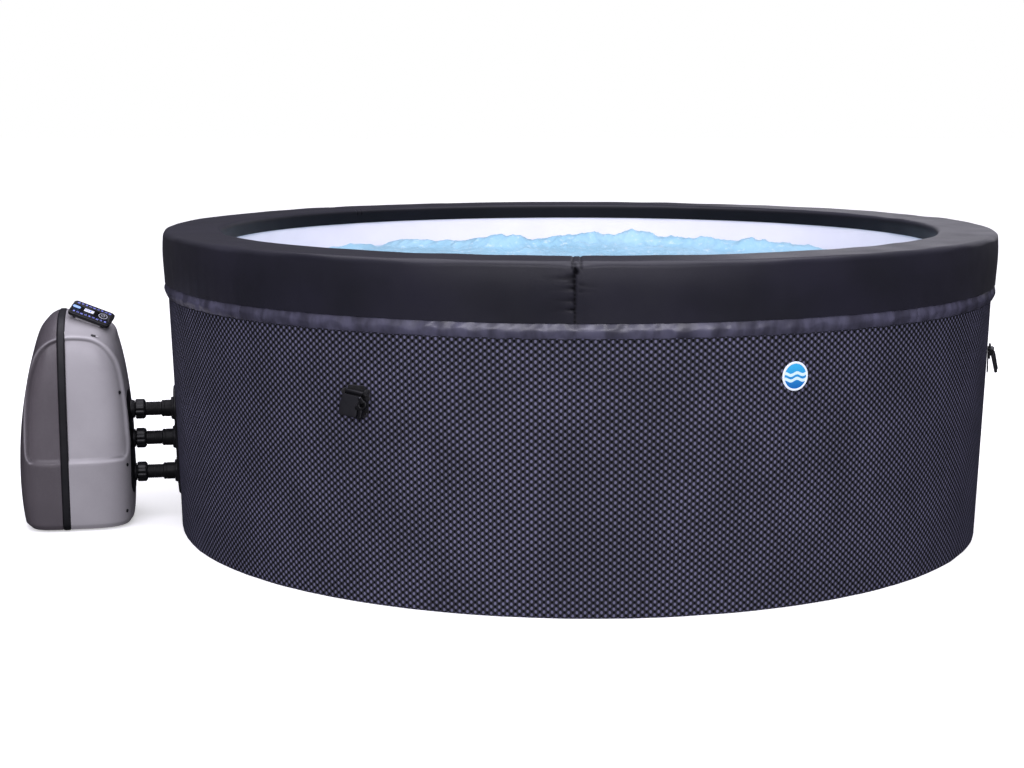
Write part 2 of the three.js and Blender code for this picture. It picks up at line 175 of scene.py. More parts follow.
class Finish:
    """A node material on the object's own coordinates, in metres."""

    def __init__(self, name, roughness=0.5, metallic=0.0, specular=0.5, coat=0.0, sheen=0.0):
        self.material = bpy.data.materials.new(name)
        self.material.use_nodes = True
        self.tree = self.material.node_tree
        self.shader = self.tree.nodes["Principled BSDF"]
        for socket, value in (
            ("Roughness", roughness), ("Metallic", metallic), ("Specular IOR Level", specular),
            ("Coat Weight", coat), ("Sheen Weight", sheen),
        ):
            self.shader.inputs[socket].default_value = value
        self.place = self.add("ShaderNodeTexCoord").outputs["Object"]
        self.height = None

    def add(self, kind, inputs=(), **settings):
        node = self.tree.nodes.new(kind)
        for key, value in settings.items():
            setattr(node, key, value)
        for key, value in dict(inputs).items():
            if isinstance(value, bpy.types.NodeSocket):
                self.tree.links.new(value, node.inputs[key])
            else:
                node.inputs[key].default_value = value
        return node

    def math(self, operation, a, b=0.0, c=0.0):
        return self.add("ShaderNodeMath", {0: a, 1: b, 2: c}, operation=operation).outputs[0]

    def noise(self, scale, detail=3.0, rough=0.55, stretch=None):
        place = self.place
        if stretch:
            place = self.add("ShaderNodeMapping", {"Vector": place, "Scale": stretch}).outputs[0]
        return self.add(
            "ShaderNodeTexNoise",
            {"Vector": place, "Scale": scale, "Detail": detail, "Roughness": rough},
        ).outputs["Fac"]

    def cells(self, scale, feature="DISTANCE_TO_EDGE"):
        return self.add(
            "ShaderNodeTexVoronoi", {"Vector": self.place, "Scale": scale}, feature=feature,
        ).outputs["Distance"]

    def span(self, value, low, high, to_low=0.0, to_high=1.0):
        return self.add("ShaderNodeMapRange", {
            "Value": value, "From Min": low, "From Max": high, "To Min": to_low, "To Max": to_high,
        }, interpolation_type="SMOOTHSTEP").outputs[0]

    def mix(self, factor, a, b):
        node = self.add("ShaderNodeMix", {0: factor, 6: a, 7: b}, data_type="RGBA")
        return node.outputs[2]

    def colour(self, value):
        if isinstance(value, bpy.types.NodeSocket):
            self.tree.links.new(value, self.shader.inputs["Base Color"])
        else:
            self.shader.inputs["Base Color"].default_value = value
        return self

    def roughness(self, value):
        self.tree.links.new(value, self.shader.inputs["Roughness"])
        return self

    def bump(self, height, strength, depth):
        inputs = {"Height": height, "Strength": strength, "Distance": depth}
        if self.height:
            inputs["Normal"] = self.height
        self.height = self.add("ShaderNodeBump", inputs).outputs[0]
        self.tree.links.new(self.height, self.shader.inputs["Normal"])
        return self


def moulded(name, dark, light, roughness=0.45, grain=2600, depth=0.00004, **extra):
    """Moulded plastic or rubber: fine spark-eroded grain, slow mottling, and rubbed patches."""
    f = Finish(name, roughness, **extra)
    f.colour(f.mix(f.span(f.noise(14, 4), 0.3, 0.7), linear(*dark), linear(*light)))
    f.roughness(f.span(f.noise(38, 5), 0.25, 0.75, roughness - 0.07, roughness + 0.08))
    f.bump(f.noise(grain, 2), 0.35, depth)
    return f.material


def make_leatherette():
    f = Finish("leatherette", 0.4, sheen=0.02)
    tone = f.span(f.noise(5, 5), 0.3, 0.7)
    plain = f.mix(tone, linear(27, 27, 35), linear(33, 32, 43))
    # Painted shade: the mark from the mesh darkens the colour towards near-black and dulls the specular in
    # the rim's grooves, eyelet, puckers and inner face. Along the stitches it is seam marking.
    seam_marks_and_painted_light = f.add("ShaderNodeAttribute", attribute_name="seam_marks_and_painted_light").outputs["Fac"]
    f.colour(f.mix(f.math("MULTIPLY", seam_marks_and_painted_light, 0.9), plain, linear(4, 4, 5)))
    f.tree.links.new(f.math("MULTIPLY_ADD", seam_marks_and_painted_light, -0.44, 0.46), f.shader.inputs["Specular IOR Level"])
    f.roughness(f.math("MULTIPLY_ADD", seam_marks_and_painted_light, 0.2, f.span(f.noise(11, 4), 0.2, 0.8, 0.31, 0.39)))
    f.bump(f.span(f.cells(620), 0.0, 0.32), 0.35, 0.00022)
    f.bump(f.noise(1900, 2), 0.25, 0.00006)
    f.bump(f.noise(26, 3), 0.3, 0.0007)
    return f.material


def make_hem_film():
    f = Finish("hem_film", 0.3, specular=0.7, coat=0.15)
    tone = f.span(f.noise(30, 4, stretch=(1, 1, 0.4)), 0.3, 0.7)
    f.colour(f.mix(tone, linear(50, 49, 62), linear(78, 77, 96)))
    f.roughness(f.span(f.noise(60, 3), 0.3, 0.7, 0.28, 0.4))
    f.bump(f.noise(300, 3), 0.25, 0.0003)
    return f.material


COLUMNS_ROUND = 748
ROW_PITCH = 0.01335


def make_weave():
    """Staggered oval strands on a near-black ground, counted round the tub so that the pattern closes."""
    f = Finish("woven_jacket", 0.6, specular=0.12)
    x, y, z = f.add("ShaderNodeSeparateXYZ", {0: f.place}).outputs
    angle = f.math("ARCTAN2", y, x)
    across = f.math("MULTIPLY_ADD", angle, COLUMNS_ROUND / TAU, COLUMNS_ROUND)
    column = f.math("FLOOR", across)
    odd = f.math("MODULO", column, 2.0)
    up = f.math("MULTIPLY_ADD", odd, 0.5, f.math("DIVIDE", z, ROW_PITCH))
    side = f.math("SUBTRACT", f.math("FRACT", across), 0.5)
    rise = f.math("SUBTRACT", f.math("FRACT", up), 0.5)
    wobble = f.math("MULTIPLY_ADD", f.noise(240, 1), 0.12, -0.06)
    wide = f.math("POWER", f.math("DIVIDE", side, 0.34), 2.0)

    def spot(centre, half_height, edge):
        away = f.math("SUBTRACT", f.math("ADD", rise, wobble), centre)
        wrapped = f.math("WRAP", away, 0.5, -0.5)
        tall = f.math("POWER", f.math("DIVIDE", wrapped, half_height), 2.0)
        return f.span(f.math("ADD", wide, tall), *edge)

    strand = spot(0.0, 0.25, (1.3, 0.45))
    # Painted shade: the hollow between strands is darkened to near-black.
    painted_shade_pit = spot(0.5, 0.2, (1.2, 0.4))
    tone = f.span(f.noise(9, 4), 0.3, 0.7)
    ground = f.mix(tone, linear(38, 38, 45), linear(42, 42, 50))
    bright = f.mix(tone, linear(92, 92, 114), linear(102, 101, 126))
    f.colour(f.mix(strand, f.mix(painted_shade_pit, ground, linear(8, 8, 10)), bright))
    f.roughness(f.span(strand, 0, 1, 0.72, 0.5))
    f.bump(f.math("SUBTRACT", strand, painted_shade_pit), 0.6, 0.0005)
    f.bump(f.noise(900, 2, stretch=(1, 1, 0.25)), 0.3, 0.0002)
    return f.material


def make_liner_film():
    f = Finish("liner_film", 0.35, specular=0.45)
    f.colour(f.mix(f.span(f.noise(6, 4), 0.3, 0.7), linear(237, 229, 236), linear(243, 235, 241)))
    f.bump(f.noise(40, 3), 0.2, 0.0008)
    f.bump(f.noise(900, 2), 0.2, 0.00008)
    return f.material


def make_water():
    f = Finish("frothing_water", 0.3, specular=0.3)
    foam = f.span(f.noise(60, 6, 0.7), 0.54, 0.7)
    deep = f.span(f.noise(7, 4), 0.3, 0.7)
    water = f.mix(deep, linear(137, 180, 202), linear(150, 188, 208))
    f.colour(f.mix(f.math("MULTIPLY", foam, 0.75), water, linear(190, 206, 216)))
    f.roughness(f.span(foam, 0, 1, 0.28, 0.6))
    f.bump(f.noise(150, 5, 0.7), 0.2, 0.0015)
    return f.material


def make_foam(name, dark, light):
    f = Finish(name, 0.9, specular=0.2)
    f.colour(f.mix(f.span(f.cells(300, "F1"), 0.2, 0.7), linear(*dark), linear(*light)))
    f.bump(f.cells(420), 0.5, 0.0005)
    return f.material


def make_webbing():
    f = Finish("webbing", 0.85, specular=0.25, sheen=0.15)
    rows = f.add("ShaderNodeTexWave", {"Vector": f.place, "Scale": 520, "Distortion": 0.6},
                 bands_direction="Z")
    f.colour(f.mix(rows.outputs["Fac"], linear(9, 9, 11), linear(20, 20, 23)))
    f.bump(rows.outputs["Fac"], 0.6, 0.0003)
    f.bump(f.noise(1400, 2), 0.4, 0.0001)
    return f.material


def make_shell(name, dark, light):
    """Satin painted casing with a fine pearl fleck, and painted shade and highlight from the mesh's mark
    attribute.
    """
    f = Finish(name, 0.42, metallic=0.12, specular=0.5, coat=0.08)
    body = f.mix(f.span(f.noise(7, 4), 0.3, 0.7), linear(*dark), linear(*light))
    fleck = f.span(f.cells(1500, "F1"), 0.5, 0.1)
    body = f.mix(f.math("MULTIPLY", fleck, 0.18), body, linear(225, 222, 228))
    # Painted light: positive mark values darken the body as painted shade along the arch recess's edge and
    # over the frame outside it. Negative values lighten it as a painted highlight on the ridge.
    seam_marks_and_painted_light = f.add("ShaderNodeAttribute", attribute_name="seam_marks_and_painted_light").outputs["Fac"]
    shade = f.mix(f.math("MULTIPLY", f.math("MAXIMUM", seam_marks_and_painted_light, 0.0), 0.6), body, linear(34, 31, 36))
    f.colour(f.mix(f.math("MULTIPLY", f.math("MAXIMUM", f.math("MULTIPLY", seam_marks_and_painted_light, -1.0), 0.0), 0.3), shade,
                   linear(238, 236, 242)))
    f.roughness(f.span(f.noise(20, 5), 0.25, 0.75, 0.36, 0.48))
    f.bump(f.noise(1800, 2), 0.25, 0.00005)
    return f.material


def make_steel():
    f = Finish("brushed_steel", 0.3, metallic=1.0)
    lines = f.noise(60, 4, stretch=(14, 0.6, 14))
    f.colour(f.mix(lines, linear(160, 162, 168), linear(206, 208, 212)))
    f.roughness(f.span(lines, 0.2, 0.8, 0.2, 0.42))
    f.bump(lines, 0.2, 0.0001)
    return f.material


def make_board():
    f = Finish("circuit_board", 0.45, specular=0.5)
    tracks = f.add("ShaderNodeTexBrick", {
        "Vector": f.add("ShaderNodeMapping", {"Vector": f.place, "Rotation": (0, TAU / 4, 0)}).outputs[0],
        "Scale": 160.0, "Mortar Size": 0.03, "Color1": linear(22, 92, 62), "Color2": linear(28, 104, 72),
        "Mortar": linear(150, 128, 62),
    })
    f.colour(tracks.outputs["Color"])
    f.bump(tracks.outputs["Fac"], 0.4, 0.0001)
    return f.material


def make_filter_paper():
    """Pleated filter paper: folds that run along the cartridge."""
    f = Finish("filter_paper", 0.9, specular=0.2)
    folds = f.noise(90, 2, stretch=(0.6, 9, 9))
    # Painted shade: the colour darkens where the folds dip.
    f.colour(f.mix(folds, linear(196, 198, 202), linear(240, 241, 243)))
    f.bump(folds, 0.8, 0.002)
    return f.material


def make_badge_print():
    """Blue field with two paler waves."""
    f = Finish("badge_print", 0.3, specular=0.5, coat=0.4)
    x, y, z = f.add("ShaderNodeSeparateXYZ", {0: f.place}).outputs
    swing = f.math("SINE", f.math("MULTIPLY", x, 260.0))
    level = f.math("MULTIPLY_ADD", swing, 0.0022, z)
    first = f.span(f.math("ABSOLUTE", f.math("SUBTRACT", level, 0.4735)), 0.0034, 0.0026)
    second = f.span(f.math("ABSOLUTE", f.math("SUBTRACT", level, 0.4625)), 0.0034, 0.0026)
    field = f.mix(f.span(z, 0.445, 0.492), linear(22, 104, 178), linear(52, 168, 220))
    f.colour(f.mix(f.math("MAXIMUM", first, second), field, linear(206, 234, 250)))
    f.bump(f.noise(1200, 2), 0.1, 0.00004)
    return f.material


leatherette = make_leatherette()
hem_film = make_hem_film()
weave = make_weave()
liner_film = make_liner_film()
froth = make_water()
foam = make_foam("foam", (206, 203, 192), (228, 225, 214))
pad_foam = make_foam("pad_foam", (92, 95, 101), (122, 125, 131))
webbing = make_webbing()
shell_dark = make_shell("shell_dark", (75, 69, 74), (81, 75, 80))
shell_light = make_shell("shell_light", (153, 150, 154), (163, 160, 164))
steel = make_steel()
board = make_board()
filter_paper = make_filter_paper()
badge_print = make_badge_print()
thread = moulded("thread", (52, 51, 58), (74, 72, 82), 0.7)
black_plastic = moulded("black_plastic", (13, 13, 15), (19, 19, 22), 0.36)
gloss_fascia = moulded("gloss_fascia", (8, 8, 10), (12, 12, 15), 0.3, depth=0.00001, specular=0.25)
buckle_grey = moulded("buckle_grey", (23, 23, 27), (29, 29, 33), 0.5, specular=0.3)
clip_black = moulded("clip_black", (6, 6, 8), (11, 11, 13), 0.35)
rubber_black = moulded("rubber_black", (12, 12, 14), (19, 19, 21), 0.5, grain=1500, specular=0.35)
band_rubber = moulded("band_rubber", (16, 16, 20), (24, 24, 29), 0.5, grain=1500)
white_plastic = moulded("white_plastic", (226, 228, 231), (238, 240, 243), 0.42)
motor_paint = moulded("motor_paint", (48, 62, 88), (62, 78, 106), 0.4, grain=700, depth=0.0001)
badge_white = moulded("badge_white", (228, 236, 244), (240, 246, 252), 0.3, coat=0.4)
display_lens = moulded("display_lens", (214, 218, 232), (236, 238, 248), 0.2, depth=0.00001, coat=0.5)
icon_print = moulded("icon_print", (104, 112, 206), (138, 146, 232), 0.4)
key_blue = moulded("key_blue", (128, 164, 226), (158, 190, 244), 0.35)
key_ring = moulded("key_ring", (150, 152, 164), (182, 184, 196), 0.3, coat=0.3)


# ---------- mesh making ----------

def welded(points, faces):
    """The same surface with points that coincide made one, and faces that vanish left out.
    A fourth column, where there is one, is carried along: seam marks and painted light."""
    keys = np.round(points[:, :3] / 0.002).astype(np.int64)
    _, first, back = np.unique(keys, axis=0, return_index=True, return_inverse=True)
    back = back.reshape(-1)
    kept = []
    for face in faces:
        ring = [back[i] for i in face]
        ring = [v for i, v in enumerate(ring) if v != ring[i - 1]]
        if len(ring) > 2:
            kept.append(ring)
    return points[first], kept


def lattice(points, close_u=False, close_v=False):
    """Quads over a grid of points, [u][v][xyz]."""
    nu, nv = points.shape[:2]
    u = np.arange(nu if close_u else nu - 1)[:, None]
    v = np.arange(nv if close_v else nv - 1)[None, :]
    u1, v1 = (u + 1) % nu, (v + 1) % nv
    corners = [u * nv + v, u1 * nv + v, u1 * nv + v1, u * nv + v1]
    faces = np.stack([np.broadcast_to(c, (u.size, v.size)).ravel() for c in corners], 1)
    return welded(points.reshape(-1, points.shape[2]), faces.tolist())


def stack(loops):
    """A closed body through loops of points, with its first and last loops filled."""
    loops = np.asarray(loops, float)
    count, n = loops.shape[:2]
    faces = [
        [a * n + i, a * n + (i + 1) % n, (a + 1) * n + (i + 1) % n, (a + 1) * n + i]
        for a in range(count - 1) for i in range(n)
    ]
    faces.append(list(range(n))[::-1])
    faces.append([(count - 1) * n + i for i in range(n)])
    return welded(loops.reshape(-1, 3), faces)


def softened(profile, radius, steps=4):
    """A closed [r, z] profile with each corner rounded; corners on the axis stay."""
    profile = np.asarray(profile, float)
    made = []
    for i, corner in enumerate(profile):
        before, after = profile[i - 1] - corner, profile[(i + 1) % len(profile)] - corner
        reach = min(radius, 0.45 * np.linalg.norm(before), 0.45 * np.linalg.norm(after))
        if corner[0] < 1e-6 or reach < 0.05:
            made.append(corner)
            continue
        start = corner + before / np.linalg.norm(before) * reach
        end = corner + after / np.linalg.norm(after) * reach
        for t in np.linspace(0, 1, steps + 1):
            made.append((1 - t) ** 2 * start + 2 * t * (1 - t) * corner + t ** 2 * end)
    return np.array(made)


def turned(profile, radius=1.0, segments=72, lobes=0, depth=0.0, beyond=0.0):
    """A profile turned about Z. With lobes, what lies further out than `beyond` is fluted."""
    profile = softened(profile, radius)
    angle = np.arange(segments) * TAU / segments
    r = np.broadcast_to(profile[:, 0], (segments, len(profile))).copy()
    if lobes:
        flute = depth * (0.5 - 0.5 * np.cos(lobes * angle)) ** 2
        r -= np.clip(r - beyond, 0, 1) * flute[:, None]
    z = np.broadcast_to(profile[:, 1], r.shape)
    points = np.stack([r * np.cos(angle)[:, None], r * np.sin(angle)[:, None], z], 2)
    on_axis = profile[0, 0] < 1e-6 and profile[-1, 0] < 1e-6
    return lattice(points, True, not on_axis)


def rounded_outline(width, height, radius, steps=8):
    corners = [(1, -1, -90), (1, 1, 0), (-1, 1, 90), (-1, -1, 180)]
    made = []
    for sx, sy, start in corners:
        for t in np.linspace(0, 90, steps + 1):
            a = math.radians(start + t)
            made.append((
                sx * (width / 2 - radius) + radius * math.cos(a),
                sy * (height / 2 - radius) + radius * math.sin(a),
            ))
    return np.array(made)


def pad(width, height, radius, low, high, bevel=1.0, steps=3, crown=0.0):
    """A rounded rectangle with thickness and rounded edges; crown lifts its top towards the middle."""
    loops = []

    def loop(inset, z):
        ring = rounded_outline(width - 2 * inset, height - 2 * inset, max(radius - inset, 0.3))
        loops.append(np.column_stack([ring, np.full(len(ring), z)]))

    for t in np.linspace(0, 90, steps + 1):
        loop(bevel * (1 - math.sin(math.radians(t))), low + bevel * (1 - math.cos(math.radians(t))))
    for t in np.linspace(90, 0, steps + 1):
        loop(bevel * (1 - math.sin(math.radians(t))), high - bevel * (1 - math.cos(math.radians(t))))
    if crown:
        for share in (0.12, 0.3, 0.55, 0.8):
            inset = bevel + share * (min(width, height) / 2 - bevel - 0.5)
            loop(inset, high + crown * (1 - (1 - share) ** 2))
    return stack(loops)


def placed(part, matrix):
    points, faces = part
    m = np.array(matrix, float)
    return points @ m[:3, :3].T + m[:3, 3], faces


def upright(part):
    """Turns a pad that lies in XY to stand in YZ, its thickness along X."""
    points, faces = part
    return points[:, [2, 0, 1]], faces


def piece(name, parts, body="root", replaces=(), matrix=None, sharp=38):
    """One object made of (part, material) pairs, in metres, riding on a body."""
    points, faces, picks, materials = [], [], [], []
    offset = 0
    for (part_points, part_faces), material in parts:
        if material not in materials:
            materials.append(material)
        points.append(part_points)
        faces.extend([[i + offset for i in face] for face in part_faces])
        picks.extend([materials.index(material)] * len(part_faces))
        offset += len(part_points)
    points = np.concatenate(points)
    if matrix is not None:
        m = np.array(matrix, float)
        points[:, :3] = points[:, :3] @ m[:3, :3].T + m[:3, 3]
    mesh = bpy.data.meshes.new(name)
    mesh.from_pydata((points[:, :3] / 1000).tolist(), [], faces)
    # The fourth column becomes a point attribute of seam marks and painted light (shade, and on the casing
    # also highlight), which the leatherette and shell materials read.
    if points.shape[1] > 3:
        seam_marks_and_painted_light = mesh.attributes.new("seam_marks_and_painted_light", "FLOAT", "POINT")
        seam_marks_and_painted_light.data.foreach_set("value", points[:, 3].astype(np.float32))
    for material in materials:
        mesh.materials.append(material)
    mesh.polygons.foreach_set("material_index", picks)
    mesh.update()
    face_outward(mesh)
    mesh.shade_smooth()
    mesh.set_sharp_from_angle(angle=math.radians(sharp))
    made = bpy.data.objects.new(name, mesh)
    scene.collection.objects.link(made)
    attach(made, body)
    if replaces:
        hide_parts(*replaces)
    return made


def face_outward(mesh):
    bm = bmesh.new()
    bm.from_mesh(mesh)
    bmesh.ops.recalc_face_normals(bm, faces=bm.faces)
    bm.to_mesh(mesh)
    bm.free()


def drilled(made, rods):
    """Cuts round holes, each ((points, faces)) in millimetres, and applies the cut."""
    for points, faces in rods:
        mesh = bpy.data.meshes.new("drill")
        mesh.from_pydata((points / 1000).tolist(), [], faces)
        face_outward(mesh)
        drill = bpy.data.objects.new("drill", mesh)
        scene.collection.objects.link(drill)
        cut = made.modifiers.new("hole", "BOOLEAN")
        cut.object = drill
        cut.operation = "DIFFERENCE"
        cut.solver = "EXACT"
        bpy.context.view_layer.objects.active = made
        bpy.ops.object.modifier_apply(modifier=cut.name)
        bpy.data.objects.remove(drill)
    return made


def ripple(seed, angle, height, lowest, highest, count, tilt=0.0):
    """A smooth random surface of whole waves round the tub, so that it closes on itself."""
    rng = np.random.default_rng(seed)
    total = 0.0
    for _ in range(count):
        waves = int(rng.integers(lowest, highest + 1))
        lean = rng.uniform(-tilt, tilt)
        total = total + rng.uniform(0.5, 1) * np.sin(waves * angle + lean * height + rng.uniform(0, TAU))
    return total / math.sqrt(count)


def bell(x, width):
    return np.exp(-((x / width) ** 2))


def thickened(outer, inner):
    """A closed ring body between two grids of points, [around][across][xyz]."""
    return lattice(np.concatenate([outer, inner[:, ::-1]], 1), True, True)


def around(r, angle, z):
    r, angle, z = np.broadcast_arrays(r, angle, z)
    return np.stack([r * np.cos(angle), r * np.sin(angle), z], -1)


# ---------- rim ----------

def rim_angles():
    """Angles round the rim, close together near each seam."""
    half = math.pi / 8 * RIM_OUTER
    near = np.arange(-26, 27, 2.0)
    far = np.linspace(26, 2 * half - 26, 50)[1:-1]
    offsets = np.concatenate([near, far])
    return np.concatenate([seam + offsets / RIM_OUTER for seam in SEAMS])


def from_seam(angle):
    """Distance along the rim's outside to the nearest seam, and that seam's number."""
    turn = (angle - SEAMS[0]) / (TAU / 8)
    k = np.round(turn)
    return (turn - k) * TAU / 8 * RIM_OUTER, k.astype(int) % 8


def rim_profile():
    """[r, z, normal r, normal z, outer corner, face] up the inside, over the top and down the outside."""
    rows = []
    for z in np.linspace(LINER_TOP + 1, RIM_TOP - RIM_EDGE, 6)[:-1]:
        rows.append((RIM_INNER, z, -1, 0, 0, 0))
    for t in np.linspace(0, math.pi / 2, 7):
        n = (-math.cos(t), math.sin(t))
        rows.append((RIM_INNER + RIM_EDGE + RIM_EDGE * n[0], RIM_TOP - RIM_EDGE + RIM_EDGE * n[1], *n, 0, 0))
    for r in np.linspace(RIM_INNER + RIM_EDGE, RIM_OUTER - RIM_EDGE, 16)[1:-1]:
        rows.append((r, RIM_TOP, 0, 1, 0, 0))
    for t in np.linspace(0, math.pi / 2, 9):
        n = (math.sin(t), math.cos(t))
        corner = math.sin(2 * t) ** 2
        rows.append((
            RIM_OUTER - RIM_EDGE + RIM_EDGE * n[0], RIM_TOP - RIM_EDGE + RIM_EDGE * n[1], *n,
            corner, math.sin(t) ** 2,
        ))
    for z in np.linspace(RIM_TOP - RIM_EDGE, RIM_BOTTOM, 32)[1:]:
        rows.append((RIM_OUTER, z, 1, 0, 0, 1))
    return np.array(rows).T


# How hard the skin is drawn in at each joint between rim blocks, from the front round: two are seamed
SEAM_PULL = np.array([1.0, 0, 0, 0, 0, 0.5, 0, 0])


def make_rim_cover():
    angle = rim_angles()[:, None]
    r, z, nr, nz, corner, face = (row[None, :] for row in rim_profile())
    a, k = from_seam(angle)
    pull = SEAM_PULL[k]
    side = np.abs(a)
    full = 1 - (side / (math.pi / 8 * RIM_OUTER)) ** 6
    height = np.clip((z - RIM_BOTTOM) / (RIM_TOP - RIM_EDGE - RIM_BOTTOM), 0, 1)
    swell = 1.1 * full - 1.5 * pull * np.exp(-side / 14)
    rows = pull * np.clip((z - 682) / 6, 0, 1) * (bell(a - 8, 2.2) + bell(a + 8, 2.2))
    joint = face * pull ** 1.5 * bell(a + 3, 2.6)
    pinch = pull * corner * 3.0 * bell(a, 30)
    eyelet = pull * face * bell(a + 1, 5) * bell(z - 681, 5)
    drape = face * (1.9 * np.sin(math.pi * height ** 1.6) - 2.0 * (1 - height) ** 2)
    slack = 0.55 * ripple(3, angle, z, 9, 44, 9, 0.02) + 0.45 * face * (1 - height) * ripple(
        4, angle, z, 60, 150, 9, 0.05)
    edge_slack = 1.1 * corner * ripple(5, angle, 0 * z, 10, 38, 7)
    pucker = 0.0
    rng = np.random.default_rng(11)
    for seam in range(8):
        for _ in range(14):
            at, lean = rng.triangular(596, 672, 678), rng.uniform(-0.2, 0.2)
            hand, reach = rng.choice([-1, 1], p=[0.65, 0.35]), rng.uniform(7, 18)
            along = np.clip(hand * a - 4, 0, None)
            fade = np.clip((hand * a - 2) / 5, 0, 1) * np.exp(-along / reach)
            depth = rng.uniform(0.8, 2.2) * SEAM_PULL[seam]
            pucker = pucker + depth * (k == seam) * face * fade * bell(z - at - lean * along, 2.6)
    bulge = 0.9 * pull * face * (bell(a - 13 - 0.0006 * (690 - z) ** 2, 8) + 0.6 * bell(a + 12, 6))
    move = swell - 1.9 * rows - 2.3 * joint + bulge * height - pinch - 2.4 * eyelet
    move = move - pucker + drape + slack + edge_slack
    move = np.maximum(move, -2.6 - 5.2 * corner)
    # This mark darkens the leatherette. The stitch dots down each joint are seam marking. The darkening of
    # the groove lines, the joint, the eyelet hole, the puckers and the tub-facing inner face is painted
    # shade.
    stitched = 0.55 + 0.45 * np.cos(TAU * z / 8.5)
    inside = np.clip((RIM_INNER + 4 - r) / 4, 0, 1)
    seam_marks_and_painted_light = np.clip(0.5 * rows + joint * (0.35 + 0.65 * stitched) + 1.3 * eyelet + 0.5 * pucker
                     + 0.75 * inside, 0, 1)
    outer = around(r + nr * move, angle, z + nz * move)
    inner = around(r + nr * (move - 1.2), angle, z + nz * (move - 1.2))
    marked = [np.concatenate([skin, seam_marks_and_painted_light[..., None]], -1) for skin in (outer, inner)]
    cover = piece("rim_cover_skin", [(thickened(*marked), leatherette)], "root",
                  ["rim_cover"], sharp=60)
    return cover


def sector(profile, start, end, steps):
    """Part of a turned body, closed at both ends."""
    angle = np.linspace(start, end, steps + 1)[:, None]
    r, z = np.asarray(profile, float).T
    return stack(around(r[None, :], angle, z[None, :]))


def make_foam_blocks():
    low, high = RIM_BOTTOM + 1, RIM_TOP - 4
    block = softened([
        (853, low), (976, low), (976, high - 12), (964, high), (865, high), (853, high - 12),
    ], 3)
    joint = 0.7 / RIM_OUTER
    for k in range(8):
        start = k * TAU / 8
        part = sector(block, start + joint, start + TAU / 8 - joint, 20)
        rim_block = piece(f"rim_block_{k + 1}", [(part, foam)], "root", [f"rim_foam_{k + 1}"])
    panel = softened([(866, 12), (950.5, 12), (968, 574.5), (866, 574.5)], 4)
    for k in range(4):
        start = math.radians(45) + k * TAU / 4
        part = sector(panel, start + joint, start + TAU / 4 - joint, 36)
        made = piece(f"wall_panel_{k + 1}", [(part, foam)], "root", [f"wall_foam_{k + 1}"])
        holes = [rod for rod, bearing in passages(18) if start < bearing < start + TAU / 4]
        drilled(made, holes)


def passages(radius):
    """Rods through the wall where the ports and the drain pass, with each one's bearing."""
    made = []
    for height in PORT_HEIGHTS.values():
        rod = turned([(0, 220), (radius, 220), (radius, 420), (0, 420)], 0.1, 32)
        rod = placed(rod, UNIT @ moved(0, HOSE_ROW, height) @ ALONG_X)
        middle = rod[0].mean(0)
        made.append((rod, math.atan2(middle[1], middle[0]) % TAU))
    rod = turned([(0, 800), (radius, 800), (radius, 1000), (0, 1000)], 0.1, 32)
    made.append((placed(rod, turned_by(120, "Z") @ moved(0, 0, DRAIN[1]) @ ALONG_X), DRAIN[0]))
    return made


def make_hem_skirt():
    """The glossy skirt under the rim: one strip gathered into the seam above it."""
    angle = (np.arange(2200) * TAU / 2200)[:, None]
    v = np.linspace(0, 1, 21)[None, :]
    a, k = from_seam(angle)
    pull = SEAM_PULL[k] * np.exp(-np.abs(a) / 60)
    z = RIM_BOTTOM - 0.4 - 29.6 * v + 0.8 * v * ripple(25, angle, v, 40, 160, 5)
    turn = np.clip(0.5 + 0.13 * ripple(20, angle, 0 * v, 30, 120, 9), 0.25, 0.75)
    below = np.clip((v - turn) / (1 - turn), 0, 1)
    body = 976.2 - 0.38 * np.logaddexp(-(v / turn) * 12, -12) - 5.8 * below ** 1.5
    folds = ripple(21, angle, v, 90, 190, 8, 3.6)
    broad = ripple(23, angle, v, 24, 70, 6, 1.6)
    calm = np.clip(0.55 + 0.45 * ripple(24, angle, 0 * v, 6, 24, 5), 0.1, 1.2)
    grow = np.clip(v * 3, 0, 1)
    r = body + grow * ((calm + 1.3 * pull) * 1.1 * folds + 0.7 * broad)
    r = r - 2.2 * bell(a, 2.6) * (1 - 0.4 * v) + 0.8 * SEAM_PULL[k] * bell(np.abs(a) - 14, 7) * grow
    r = 974.2 + 11 * np.tanh(np.clip(r - 974.2, 0, None) / 11)
    outer, inner = around(r, angle, z), around(r - 1.1, angle, z)
    skirt = piece("hem_skirt", [(thickened(outer, inner), hem_film)], "root", ["hem_band"],
                  sharp=75)
    return skirt


def wall_radius(z):
    return WALL_FOOT + (WALL_TOP - WALL_FOOT) * z / JACKET_TOP


def make_jacket():
    angle = (np.arange(480) * TAU / 480)[:, None]
    z = np.concatenate([[0.8, 2.0, 5.0], np.linspace(12, JACKET_TOP, 40)])[None, :]
    r = wall_radius(z) + 0.55 * ripple(31, angle, z, 8, 60, 8, 0.01)
    r = r - 1.0 * bell(z - 1.0, 2.0) + 0.35 * ripple(32, angle, z, 60, 110, 6, 0.02) * np.exp(-z / 60)
    outer, inner = around(r, angle, z), around(r - 1.4, angle, z)
    wall = piece("woven_wall", [(thickened(outer, inner), weave)], "root", ["outer_jacket"],
                 sharp=60)
    drilled(wall, [rod for rod, _ in passages(17)])
    return wall


